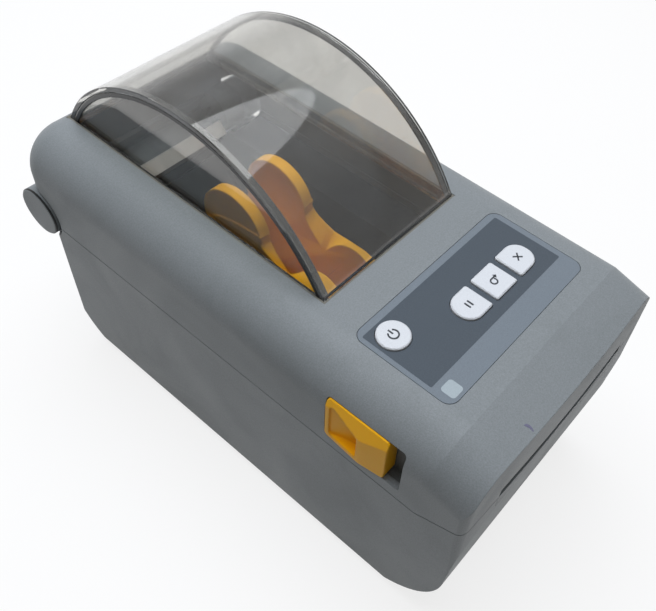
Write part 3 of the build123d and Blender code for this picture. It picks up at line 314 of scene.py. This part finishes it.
caseLook = {"low": "#767b7d", "high": "#858a8d", "grainMm": 0.5, "smudgeMm": 38.0, "soil": 0.22,
            "soilColour": "#666a69", "scuff": 0.30, "roughness": 0.50, "bump": 0.40, "edgeMm": 0.35}
finishes = {
    # textured ABS: matt grey with visible grain on the case, darker inside and in the trough; in the latch slots the
    # darker grey is painted shade, and on the hinge caps a near-black rim is painted shade
    "texturedAbs": mouldedPlastic("textured_abs_case", caseLook),
    # hinge caps: case grey, with painted shade in near-black on the rim beyond 10.05 mm from the hinge axis
    "capAbs": mouldedPlastic("textured_abs_cap", {
        **caseLook, "paintedShadeBeyond": (100.2, 77.6, 10.05), "paintedShadeColour": "#1b1c1d"}),
    "darkAbs": mouldedPlastic("dark_abs_inner", {
        **caseLook, "low": "#1d1e20", "high": "#2b2d2f", "grainMm": 0.6, "soilColour": "#3a3a39", "edgeMm": 0.2}),
    # latch slots: the case's grey darkened as painted shade of the recess
    "slotShadedAbs": mouldedPlastic("textured_abs_slot_painted_shade", {
        **caseLook, "low": "#5c6061", "high": "#6b6f70", "edgeMm": 0.2}),
    "troughAbs": mouldedPlastic("moulded_abs_trough", {
        **caseLook, "low": "#17191a", "high": "#232527", "grainMm": 0.6, "soilColour": "#383938", "edgeMm": 0.3}),
    # matt screen-printed overlay film
    "overlayGrey": mouldedPlastic("printed_overlay_grey", {
        **caseLook, "low": "#6a727a", "high": "#747d85", "grainMm": 0.35, "soil": 0.12, "scuff": 0.15,
        "bump": 0.12, "roughness": 0.46, "edgeMm": 0.1}),
    "overlaySlate": mouldedPlastic("printed_overlay_slate", {
        **caseLook, "low": "#414951", "high": "#495159", "grainMm": 0.35, "soil": 0.12, "soilColour": "#5a6068",
        "scuff": 0.12, "bump": 0.12, "roughness": 0.46, "edgeMm": 0.1}),
    "overlayPale": mouldedPlastic("printed_overlay_pale", {
        **caseLook, "low": "#98a3a9", "high": "#a5afb4", "grainMm": 0.35, "soil": 0.1, "scuff": 0.1, "bump": 0.1,
        "roughness": 0.46, "edgeMm": 0.1}),
    # key caps in smooth white ABS, with dark printed signs
    "keyAbs": mouldedPlastic("smooth_abs_keys", {
        **caseLook, "low": "#cbced2", "high": "#d5d8dc", "grainMm": 0.4, "soil": 0.15, "soilColour": "#c4c7c9",
        "scuff": 0.05, "bump": 0.10, "roughness": 0.42, "edgeMm": 0.5}),
    "signInk": mouldedPlastic("printed_key_signs", {
        **caseLook, "low": "#36393d", "high": "#45494d", "grainMm": 0.3, "soil": 0.0, "scuff": 0.0, "bump": 0.05,
        "roughness": 0.5, "edgeMm": 0.02}),
    # violet pen ink, dried on the case
    "penInk": mouldedPlastic("dried_pen_ink", {
        **caseLook, "low": "#55536a", "high": "#74738a", "grainMm": 0.3, "soil": 0.0, "scuff": 0.0, "bump": 0.05,
        "roughness": 0.5, "edgeMm": 0.02}),
    # amber acetal: strong colour that light enters a little
    "amberAcetal": mouldedPlastic("amber_acetal", {
        **caseLook, "low": "#ffb405", "high": "#ffbe12", "grainMm": 0.5, "soil": 0.06, "soilColour": "#d68f10",
        "scuff": 0.1, "bump": 0.12, "roughness": 0.50, "edgeMm": 1.0, "glowThrough": 0.06}),
    # white acetal of the gears and pale ABS of the strip
    "whiteAcetal": mouldedPlastic("white_acetal_gears", {
        **caseLook, "low": "#d8d5c9", "high": "#e4e1d6", "grainMm": 0.5, "soil": 0.2, "soilColour": "#8f8b7d",
        "scuff": 0.0, "bump": 0.08, "roughness": 0.38, "edgeMm": 0.1}),
    "paleAbs": mouldedPlastic("pale_abs_bar", {
        **caseLook, "low": "#efece5", "high": "#f5f3ee", "grainMm": 0.6, "soil": 0.08, "soilColour": "#cfccc4",
        "scuff": 0.1, "bump": 0.15, "roughness": 0.45, "edgeMm": 0.3}),
    # glossy adhesive painted black as the shadow line along the panes' edges, a painted shadow; ground silicone of the
    # roller, moulded rubber of the feet, foam of the gasket
    "beadPaintedShadow": mouldedPlastic("adhesive_bead_painted_shadow", {
        **caseLook, "low": "#0d0e0f", "high": "#141516", "grainMm": 0.5, "soil": 0.0, "scuff": 0.0, "bump": 0.05,
        "roughness": 0.25, "edgeMm": 0.1}),
    "groundRubber": mouldedPlastic("ground_silicone_roller", {
        **caseLook, "low": "#232326", "high": "#2f2f33", "grainMm": 0.3, "soil": 0.15, "soilColour": "#57575a",
        "scuff": 0.0, "bump": 0.25, "roughness": 0.75, "edgeMm": 0.2}),
    "sealRubber": mouldedPlastic("moulded_rubber_seal", {
        **caseLook, "low": "#191a1b", "high": "#252628", "grainMm": 0.4, "soil": 0.3, "soilColour": "#4a4a45",
        "scuff": 0.0, "bump": 0.2, "roughness": 0.65, "edgeMm": 0.15}),
    "gasketRubber": mouldedPlastic("grey_foam_gasket", {
        **caseLook, "low": "#6b6963", "high": "#79776f", "grainMm": 0.4, "soil": 0.4, "soilColour": "#3c3b37",
        "scuff": 0.0, "bump": 0.2, "roughness": 0.7, "edgeMm": 0.1}),
    # glazed heater strip, green solder mask and black chip epoxy
    "glazedCeramic": mouldedPlastic("glazed_ceramic_strip", {
        **caseLook, "low": "#cfcabd", "high": "#dad6cb", "grainMm": 0.5, "soil": 0.1, "scuff": 0.0, "bump": 0.02,
        "roughness": 0.18, "edgeMm": 0.1}),
    "solderMask": mouldedPlastic("solder_mask_board", {
        **caseLook, "low": "#0c4a28", "high": "#176336", "grainMm": 1.4, "soil": 0.0, "scuff": 0.25, "bump": 0.15,
        "roughness": 0.35, "edgeMm": 0.05}),
    "epoxyBlack": mouldedPlastic("epoxy_chip_black", {
        **caseLook, "low": "#151516", "high": "#1f2021", "grainMm": 0.4, "soil": 0.1, "scuff": 0.0, "bump": 0.15,
        "roughness": 0.55, "edgeMm": 0.1}),
    # cold-drawn and ground steel, zinc-plated sheet, extruded aluminium
    "groundSteel": worksMetal("ground_steel", {
        "low": "#a3a4a6", "high": "#b9babc", "roughness": 0.28, "grainPerMetre": (200, 6000, 6000), "spotMm": 6.0}),
    "zincSheet": worksMetal("zinc_plated_sheet", {
        "low": "#a9acad", "high": "#c3c6c8", "roughness": 0.36, "grainPerMetre": (900, 900, 900), "spotMm": 3.0}),
    "extrudedAluminium": worksMetal("extruded_aluminium", {
        "low": "#c4c5c7", "high": "#d2d3d5", "roughness": 0.34, "grainPerMetre": (300, 5000, 5000), "spotMm": 5.0}),
    # smoked window sheet
    "smokedPolycarbonate": smokedPolycarbonate("smoked_polycarbonate", {
        "tint": "#e2e1dd", "lampTint": "#eeeeec", "roughness": 0.03, "cloud": 0.06, "cloudPerMetre": 35.0,
        "scratch": 0.30, "dust": "#a9adb2"}),
}

finishOf = {
    "texturedAbs": ["base_shell", "cover_shell", "front_bezel"],
    "capAbs": ["hinge_cap_left", "hinge_cap_right"],
    "smokedPolycarbonate": ["cover_window"],
    "gasketRubber": ["window_seal"], "sealRubber": ["foot_1", "foot_2", "foot_3", "foot_4"],
    "overlayGrey": ["panel_overlay"], "overlaySlate": ["panel_field"], "overlayPale": ["panel_mark"],
    "keyAbs": ["power_key", "pause_key", "feed_key", "cancel_key"],
    "amberAcetal": ["latch_left", "latch_right", "roll_holder_left", "roll_holder_right"],
    "slotShadedAbs": ["latch_guide_left", "latch_guide_right"],
    "darkAbs": ["head_cradle", "power_socket", "host_socket", "option_plate", "media_sensor"],
    "troughAbs": ["media_well"], "paleAbs": ["guide_bar"],
    "whiteAcetal": ["platen_gear", "idler_gear", "rack_pinion", "platen_bush_left", "platen_bush_right"],
    "groundSteel": ["tear_bar", "hinge_pin_left", "hinge_pin_right", "platen_shaft", "idler_stud", "sensor_rail",
                    "pinion_post", "head_spring_left", "head_spring_right", "motor_pinion", "usb_socket"],
    "zincSheet": ["chassis", "head_bracket", "feed_motor", "case_screws"],
    "extrudedAluminium": ["print_head"], "glazedCeramic": ["head_strip"], "groundRubber": ["platen_roller"],
    "solderMask": ["main_board", "keypad_board"], "epoxyBlack": ["board_parts"],
}


def dressNodes(plan):
    for finish, names in plan.items():
        for name in names:
            mesh = nodes[name].data
            mesh.materials.clear()
            mesh.materials.append(finishes[finish])
    bare = set(nodes) - {name for names in plan.values() for name in names}
    print("nodes dressed, left bare:", sorted(bare))


dressNodes(finishOf)


# starts a node tree with one named input for each size
def newTree(name, sizes):
    tree = bpy.data.node_groups.new(name, "GeometryNodeTree")
    for label, value in sizes.items():
        kind = "NodeSocketInt" if isinstance(value, int) else "NodeSocketFloat"
        tree.interface.new_socket(label, in_out="INPUT", socket_type=kind)
    tree.interface.new_socket("Geometry", in_out="OUTPUT", socket_type="NodeSocketGeometry")
    size = addNode(tree, "NodeGroupInput").outputs

    def calc(operation, a, b=0.0, c=0.0):
        return addNode(tree, "ShaderNodeMath", {0: a, 1: b, 2: c}, operation=operation).outputs[0]

    return tree, size, calc


def endTree(tree, geometry, finish):
    real = addNode(tree, "GeometryNodeRealizeInstances", {0: geometry})
    dressed = addNode(tree, "GeometryNodeSetMaterial", {"Geometry": real.outputs[0], "Material": finishes[finish]})
    addNode(tree, "NodeGroupOutput", {0: dressed.outputs[0]})


# keeps what the piece's modifiers make as its plain mesh
def settle(piece):
    baked = bpy.data.meshes.new_from_object(piece.evaluated_get(bpy.context.evaluated_depsgraph_get()))
    piece.modifiers.clear()
    piece.data = baked


# evaluates a tree at its sizes and keeps the result as a plain mesh
def bakeTree(name, tree, sizes, finish, smooth):
    piece = meshPiece(name, [], [])
    modifier = piece.modifiers.new("shape", "NODES")
    modifier.node_group = tree
    for item in tree.interface.items_tree:
        if item.in_out == "INPUT":
            modifier[item.identifier] = sizes[item.name]
    settle(piece)
    return closeUp(piece, finish, smooth)


# welds a piece's doubles, turns its faces outward, gives it its finish and smooths all but its edges
def closeUp(piece, finish, smooth=35.0):
    shape = bmesh.new()
    shape.from_mesh(piece.data)
    bmesh.ops.remove_doubles(shape, verts=shape.verts, dist=0.002 * mm)
    bmesh.ops.recalc_face_normals(shape, faces=shape.faces)
    for face in shape.faces:
        face.smooth = True
    for edge in shape.edges:
        edge.smooth = len(edge.link_faces) == 2 and edge.calc_face_angle(0.0) < math.radians(smooth)
    shape.to_mesh(piece.data)
    shape.free()
    piece.data.materials.clear()
    piece.data.materials.append(finishes[finish])
    return piece


# arched window: one bent sheet with upright ends, and a flat pane inside each of its sides
window = {
    "Radius": 75.47 * mm, "Half Length": 65.85 * mm, "Half Width": 34.6 * mm, "Wall": 2.0 * mm, "Rim Step": 1.0 * mm,
    "Skirt": 2.4 * mm, "Edge Round": 0.35 * mm, "Centre Y": 32.85 * mm, "Centre Z": 75.53 * mm, "Steps": 72,
}
bead = {"Bead Width": 0.8 * mm, "Bead Height": 1.7 * mm}
paneFit, beadFit, beadRound = 0.05 * mm, 0.1 * mm, 0.25 * mm  # play under the sheet, and the bead's edge radius
smoothSheet, smoothHolder = 12.0, 40.0  # edges that bend less, in degrees, are shaded smooth
# the window's seat in millimetres: depths under the cover's top plane of its flange and of the adhesive at the
# panes' feet, where the flange ends at the rear, and the gaps at the sides and ends
seat = {"flangeLow": 4.1, "flangeHigh": 2.6, "flangeRear": 88.0, "flangeGap": 0.1,
        "footLow": 2.4, "footHigh": 0.5, "footEnd": 2.2, "footInset": 0.05}


# a line of points bent into the arch at a distance under its outside; the two end points stand below the ends
def archPath(tree, size, calc, depth):
    last = calc("ADD", size["Steps"], 1.0)
    line = addNode(tree, "GeometryNodeMeshLine", {"Count": calc("ADD", size["Steps"], 2.0)})
    index = addNode(tree, "GeometryNodeInputIndex").outputs[0]
    share = addNode(tree, "ShaderNodeMapRange", {
        0: index, 1: 1.0, 2: size["Steps"], 3: -1.0, 4: 1.0}).outputs[0]
    radius = calc("SUBTRACT", size["Radius"], depth)
    half = calc("SUBTRACT", size["Half Length"], depth)
    angle = calc("MULTIPLY", share, calc("ARCSINE", calc("DIVIDE", half, radius)))
    foot = calc("ADD", calc("LESS_THAN", index, 0.5), calc("GREATER_THAN", index, calc("SUBTRACT", last, 0.5)))
    along = calc("MULTIPLY_ADD", calc("SINE", angle), radius, size["Centre Y"])
    high = calc("MULTIPLY_ADD", calc("COSINE", angle), radius, size["Centre Z"])
    high = calc("SUBTRACT", high, calc("MULTIPLY", foot, size["Skirt"]))
    place = addNode(tree, "ShaderNodeCombineXYZ", {0: 0.0, 1: along, 2: high})
    path = addNode(tree, "GeometryNodeSetPosition", {"Geometry": line.outputs[0], "Position": place.outputs[0]})
    return addNode(tree, "GeometryNodeMeshToCurve", {0: path.outputs[0]}).outputs[0]


def sweepBar(tree, path, width, height, rounding):
    section = addNode(tree, "GeometryNodeCurvePrimitiveQuadrilateral", {"Width": width, "Height": height})
    eased = addNode(tree, "GeometryNodeFilletCurve", {
        "Curve": section.outputs[0], "Radius": rounding, "Count": 3}, mode="POLY")
    return addNode(tree, "GeometryNodeCurveToMesh", {
        "Curve": path, "Profile Curve": eased.outputs[0], "Fill Caps": True}).outputs[0]


def windowTree():
    tree, size, calc = newTree("archedWindow", window)
    path = archPath(tree, size, calc, calc("MULTIPLY", size["Wall"], 0.5))
    sheet = sweepBar(tree, path, calc("MULTIPLY", size["Half Width"], 2.0), size["Wall"], size["Edge Round"])
    # each pane is a block of many slices along Y, whose top follows the inside of the sheet
    block = addNode(tree, "GeometryNodeMeshCube", {"Vertices Y": size["Steps"]})
    spot = addNode(tree, "ShaderNodeSeparateXYZ", {0: addNode(tree, "GeometryNodeInputPosition").outputs[0]}).outputs
    radius = calc("SUBTRACT", calc("SUBTRACT", size["Radius"], size["Wall"]), paneFit)
    half = calc("SUBTRACT", calc("SUBTRACT", size["Half Length"], size["Wall"]), paneFit)
    angle = calc("MULTIPLY", calc("MULTIPLY", spot["Y"], 2.0), calc("ARCSINE", calc("DIVIDE", half, radius)))
    along = calc("MULTIPLY_ADD", calc("SINE", angle), radius, size["Centre Y"])
    crest = calc("MULTIPLY_ADD", calc("COSINE", angle), radius, size["Centre Z"])
    end = calc("MULTIPLY_ADD", calc("COSINE", calc("ARCSINE", calc("DIVIDE", half, radius))), radius, size["Centre Z"])
    low = calc("SUBTRACT", end, size["Skirt"])
    up = calc("GREATER_THAN", spot["Z"], 0.0)
    high = calc("MULTIPLY_ADD", up, calc("SUBTRACT", crest, low), low)
    outer = calc("SUBTRACT", size["Half Width"], size["Rim Step"])
    across = calc("SUBTRACT", outer, calc("MULTIPLY", calc("SUBTRACT", 0.5, spot["X"]), size["Wall"]))
    place = addNode(tree, "ShaderNodeCombineXYZ", {0: across, 1: along, 2: high})
    pane = addNode(tree, "GeometryNodeSetPosition", {"Geometry": block.outputs[0], "Position": place.outputs[0]})
    other = addNode(tree, "GeometryNodeTransform", {"Geometry": pane.outputs[0], "Scale": (-1.0, 1.0, 1.0)})
    other = addNode(tree, "GeometryNodeFlipFaces", {0: other.outputs[0]})
    whole = addNode(tree, "GeometryNodeJoinGeometry")
    for part in (sheet, pane.outputs[0], other.outputs[0]):
        tree.links.new(part, whole.inputs[0])
    endTree(tree, whole.outputs[0], "smokedPolycarbonate")
    return tree


# dark bead of adhesive in the step between each pane and the sheet; its black is a painted shadow, the dark line along
# each pane's edge
def beadTree():
    tree, size, calc = newTree("windowBead", {**window, **bead})
    depth = calc("MULTIPLY_ADD", size["Bead Height"], 0.5, calc("ADD", size["Wall"], beadFit))
    path = archPath(tree, size, calc, depth)
    bar = sweepBar(tree, path, size["Bead Width"], size["Bead Height"], beadRound)
    inset = calc("SUBTRACT", size["Rim Step"], calc("MULTIPLY", size["Bead Width"], 0.55))
    across = calc("SUBTRACT", size["Half Width"], inset)
    whole = addNode(tree, "GeometryNodeJoinGeometry")
    for side in (-1.0, 1.0):
        shift = addNode(tree, "ShaderNodeCombineXYZ", {0: calc("MULTIPLY", across, side)})
        moved = addNode(tree, "GeometryNodeTransform", {"Geometry": bar, "Translation": shift.outputs[0]})
        tree.links.new(moved.outputs[0], whole.inputs[0])
    endTree(tree, whole.outputs[0], "beadPaintedShadow")
    return tree


# closed prism from an outline, carried from one height rule to another
def prism(name, outline, lowAt, highAt):
    count = len(outline)
    points = [(x, y, lowAt(x, y)) for x, y in outline] + [(x, y, highAt(x, y)) for x, y in outline]
    faces = [tuple(reversed(range(count))), tuple(range(count, 2 * count))]
    faces += [(i, (i + 1) % count, count + (i + 1) % count, count + i) for i in range(count)]
    return meshPiece(name, points, faces)


def joinPieces(name, parts):
    shape = bmesh.new()
    for part in parts:
        shape.from_mesh(part.data)
        bpy.data.objects.remove(part)
    whole = meshPiece(name, [], [])
    shape.to_mesh(whole.data)
    shape.free()
    return whole


topSlope, topMiddle = 0.012, 112.4 * mm  # the cover's top plane falls towards the front


def topPlane(x, y):
    return topMiddle + topSlope * y


# height of a node's upper side at a point, found from above
def topOf(key, x, y):
    hit, place = nodes[key].ray_cast(Vector((x, y, 2 * cadBox[1][2])), Vector((0, 0, -1)))[:2]
    return place.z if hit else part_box(key)[1][2]


# height rules for a prism: millimetres under the cover's top plane, or over a node's upper side
def under(depth):
    return lambda x, y: topPlane(x, y) - depth * mm


def over(key, height):
    return lambda x, y: topOf(key, x, y) + height * mm


def makeWindow():
    sheet = bakeTree("archedWindow", windowTree(), window, "smokedPolycarbonate", smoothSheet)
    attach(sheet, "cover")
    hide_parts("cover_window")
    # the flange under the cover's top runs along three sides
    low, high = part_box("cover_window")
    outer, inner = high[0], window["Half Width"] - window["Rim Step"] - window["Wall"] - seat["flangeGap"] * mm
    front, rear = low[1], seat["flangeRear"] * mm
    innerFront = window["Centre Y"] - window["Half Length"] + window["Wall"]
    outline = [(-outer, front), (outer, front), (outer, rear), (inner, rear),
               (inner, innerFront), (-inner, innerFront), (-inner, rear), (-outer, rear)]
    flange = prism("windowFlange", outline, under(seat["flangeLow"]), under(seat["flangeHigh"]))
    closeUp(flange, "smokedPolycarbonate")
    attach(flange, "cover")
    rim = bakeTree("windowBead", beadTree(), {**window, **bead}, "beadPaintedShadow", smoothSheet)
    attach(rim, "cover")
    # the same adhesive, painted black as a shadow line, fills the step at the foot of each pane
    inside = window["Half Width"] - window["Rim Step"] + seat["flangeGap"] * mm
    outside = window["Half Width"] - seat["footInset"] * mm
    reach = window["Half Length"] - seat["footEnd"] * mm
    ends = window["Centre Y"] - reach, window["Centre Y"] + reach
    feet = []
    for side in (-1, 1):
        a, b = side * inside, side * outside
        outline = [(a, ends[0]), (b, ends[0]), (b, ends[1]), (a, ends[1])]
        feet.append(prism("foot", outline, under(seat["footLow"]), under(seat["footHigh"])))
    foot = closeUp(joinPieces("windowFoot", feet), "beadPaintedShadow")
    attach(foot, "cover")
    print("window made:", len(sheet.data.polygons), "faces")


makeWindow()

# generic signs on the keys, read from the front: their sizes in millimetres
signs = {"lineWidth": 0.55, "powerRadius": 1.75, "barHeight": 2.6, "barApart": 1.5, "barWidth": 0.605,
         "crossReach": 1.25, "rollRadius": 1.2, "inkHeight": 0.12, "inkSunk": 0.10}


def arcBand(centre, radius, width, start, end, steps=28):
    turns = [math.radians(start + (end - start) * i / steps) for i in range(steps + 1)]
    outer, inner = ([(centre[0] + reach * math.cos(t), centre[1] + reach * math.sin(t)) for t in turns]
                    for reach in (radius + width / 2, radius - width / 2))
    return outer + inner[::-1]


def strokeBox(start, end, width):
    along = (Vector(end) - Vector(start)).normalized() * width / 2
    side = Vector((-along.y, along.x))
    a, b = Vector(start), Vector(end)
    return [tuple(p) for p in (a - side, b - side, b + side, a + side)]


# lays flat outlines on a key's cap as thin ink, and rides them with the key
def inkSign(key, outlines):
    parts = []
    for i, outline in enumerate(outlines):
        spread = [(x * mm, y * mm) for x, y in outline]
        parts.append(prism(key + "Sign" + str(i), spread, over(key, -signs["inkSunk"]), over(key, signs["inkHeight"])))
    sign = joinPieces(key + "Sign", parts)
    closeUp(sign, "signInk")
    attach(sign, key)


def middleOf(node):
    low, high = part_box(node)
    return (low[0] + high[0]) / 2 / mm, (low[1] + high[1]) / 2 / mm


def makeSigns():
    width, reach = signs["lineWidth"], signs["crossReach"]
    x, y = middleOf("power_key")
    ring = signs["powerRadius"]
    inkSign("power_key", [arcBand((x, y), ring, width, 125, 415),
                          strokeBox((x, y + 0.2), (x, y + ring + 0.5), width)])
    x, y = middleOf("pause_key")
    half, apart = signs["barHeight"] / 2, signs["barApart"] / 2
    inkSign("pause_key", [strokeBox((x + aside, y - half), (x + aside, y + half), signs["barWidth"])
                          for aside in (-apart, apart)])
    x, y = middleOf("cancel_key")
    inkSign("cancel_key", [strokeBox((x - reach, y - reach), (x + reach, y + reach), width),
                           strokeBox((x - reach, y + reach), (x + reach, y - reach), width)])
    # feed: an open roll with its loose end and an arrow head
    x, y = middleOf("feed_key")
    inkSign("feed_key", [arcBand((x - 0.5, y - 0.4), signs["rollRadius"], width, 100, 400),
                         strokeBox((x - 0.7, y + 0.8), (x + 1.6, y + 0.8), width),
                         [(x + 1.3, y + 1.7), (x + 1.3, y - 0.1), (x + 2.4, y + 0.8)]])


makeSigns()

# pale strip along the top of the trough's rear wall, leaning back under the hinge barrel
strip = {"frontY": 90.8, "frontZ": 70.6, "backY": 94.6, "backZ": 76.2, "thick": 1.4}


def makeStrip(look):
    low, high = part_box("guide_bar")
    y0, z0, y1, z1 = (look[k] * mm for k in ("frontY", "frontZ", "backY", "backZ"))
    lean = Vector((y1 - y0, z1 - z0)).normalized()
    down = Vector((lean.y, -lean.x)) * look["thick"] * mm
    section = [(y0, z0), (y1, z1), (y1 + down.x, z1 + down.y), (y0 + down.x, z0 + down.y)]
    points = [(x, y, z) for x in (low[0], high[0]) for y, z in section]
    faces = [(0, 1, 2, 3), (7, 6, 5, 4)] + [(i, 4 + i, 4 + (i + 1) % 4, (i + 1) % 4) for i in range(4)]
    piece = meshPiece("guideStrip", points, faces)
    closeUp(piece, "paleAbs")
    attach(piece, "base")
    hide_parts("guide_bar")


makeStrip(strip)

# roll holders: a round dished head on a stem whose front edge is a ramp between two outlines, and a foot that
# ends at the trough's curve. Sizes in millimetres; outline points are (y, z), about the middle of the head
holder = {
    "headY": 33.0, "headZ": 86.0, "headRadius": 16.0, "innerX": 8.6, "headThick": 4.8, "footThick": 5.2,
    "back": [(14.4, -6.0), (14.0, -56.0), (-41.0, -54.0), (-50.0, -37.0), (-53.5, -20.0), (-53.0, -12.0)],
    "innerFront": [(-50.5, -5.0), (-45.3, -1.6), (-39.7, -1.5), (-34.8, -3.8), (-30.5, -8.2), (-27.9, -11.8),
                   (-26.4, -12.2), (-22.6, -9.2), (-18.6, -4.9), (-15.8, -0.6), (-13.0, 4.0)],
    "outerFront": [(-50.5, -6.5), (-45.3, -4.8), (-39.7, -4.7), (-34.8, -4.8), (-31.0, -5.0), (-28.1, -5.1),
                   (-26.4, -4.8), (-22.0, -3.4), (-17.8, -1.4), (-15.4, 1.0), (-13.0, 4.6)],
    "dishRadius": 60.0, "dishDepth": 1.6, "backDish": 0.9, "rimWidth": 2.2, "edgeRound": 1.0, "steps": 64,
    "troughY": 33.5, "troughZ": 85.0, "troughReach": 65.2,
}


# slab across X from an inner outline to an outer one with as many points
def slab(name, inner, innerX, outer, outerX):
    count = len(inner)
    points = [(innerX, y, z) for y, z in inner] + [(outerX, y, z) for y, z in outer]
    faces = [tuple(range(count)), tuple(reversed(range(count, 2 * count)))]
    faces += [(i, count + i, count + (i + 1) % count, (i + 1) % count) for i in range(count)]
    return meshPiece(name, points, faces)


def combine(target, other, operation):
    modifier = target.modifiers.new(operation, "BOOLEAN")
    modifier.operation, modifier.object, modifier.solver = operation, other, "EXACT"
    settle(target)
    bpy.data.objects.remove(other)


# smooth closed curve through points, each span cut into steps
def eased(points, steps=6):
    count, out = len(points), []
    for i in range(count):
        a, b, c, d = (Vector(points[(i + k) % count]) for k in (-1, 0, 1, 2))
        for step in range(steps):
            t = step / steps
            square, cube = 2 * a - 5 * b + 4 * c - d, 3 * b - a - 3 * c + d
            out.append(tuple(0.5 * (2 * b + (c - a) * t + square * t * t + cube * t ** 3)))
    return out


def circle(y, z, radius, count):
    turns = [2 * math.pi * i / count for i in range(count)]
    return [(y + radius * math.cos(t), z + radius * math.sin(t)) for t in turns]


def makeHolder(look, side, name, node, body):
    y0, z0, radius, inner, reach = (look[k] * mm for k in ("headY", "headZ", "headRadius", "innerX", "troughReach"))
    trough = Vector((look["troughY"], look["troughZ"])) * mm
    disc = circle(y0, z0, radius, look["steps"])
    outside = inner + look["headThick"] * mm
    head = slab(name, disc, inner, disc, outside)

    # the foot ends at the trough's curve
    def sideOutline(front):
        out = []
        for y, z in eased(look["back"] + look[front]):
            spot = Vector((y0 + y * mm, z0 + z * mm)) - trough
            out.append(tuple(trough + spot * min(1.0, reach / spot.length)))
        return out

    footOutside = inner + look["footThick"] * mm
    combine(head, slab("stem", sideOutline("innerFront"), inner, sideOutline("outerFront"), footOutside), "UNION")
    # shallow dish in the inner face of the head, a flat one with a rim in its outer face
    bpy.ops.mesh.primitive_uv_sphere_add(segments=96, ring_count=64, radius=look["dishRadius"] * mm, location=(
        inner - (look["dishRadius"] - look["dishDepth"]) * mm, y0, z0))
    combine(head, bpy.context.object, "DIFFERENCE")
    flat = circle(y0, z0, radius - look["rimWidth"] * mm, look["steps"])
    combine(head, slab("backDish", flat, outside - look["backDish"] * mm, flat, outside + 3 * mm), "DIFFERENCE")
    bevel = head.modifiers.new("rounded", "BEVEL")
    bevel.width, bevel.segments = look["edgeRound"] * mm, 3
    bevel.limit_method, bevel.angle_limit = "ANGLE", math.radians(smoothHolder)
    settle(head)
    if side < 0:
        head.data.transform(Matrix.Diagonal((-1, 1, 1, 1)))
    closeUp(head, "amberAcetal", smoothHolder)
    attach(head, body)
    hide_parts(node)


# a short stroke of ink left on the cover near the front, as (x, y) points in millimetres
stain = {
    "points": [(-26.9, -105.6), (-25.7, -106.0), (-25.3, -107.4), (-25.9, -108.9), (-26.3, -108.9), (-26.2, -107.7)],
    "height": 0.05, "sunk": 0.2,
}


def makeStain(look):
    outline = [(x * mm, y * mm) for x, y in look["points"]]
    mark = prism("inkStain", outline, over("cover_shell", -look["sunk"]), over("cover_shell", look["height"]))
    closeUp(mark, "penInk")
    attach(mark, "cover")


makeStain(stain)
makeHolder(holder, -1, "holderLeft", "roll_holder_left", "holder_left")
makeHolder(holder, 1, "holderRight", "roll_holder_right", "holder_right")
print("roll holders made")
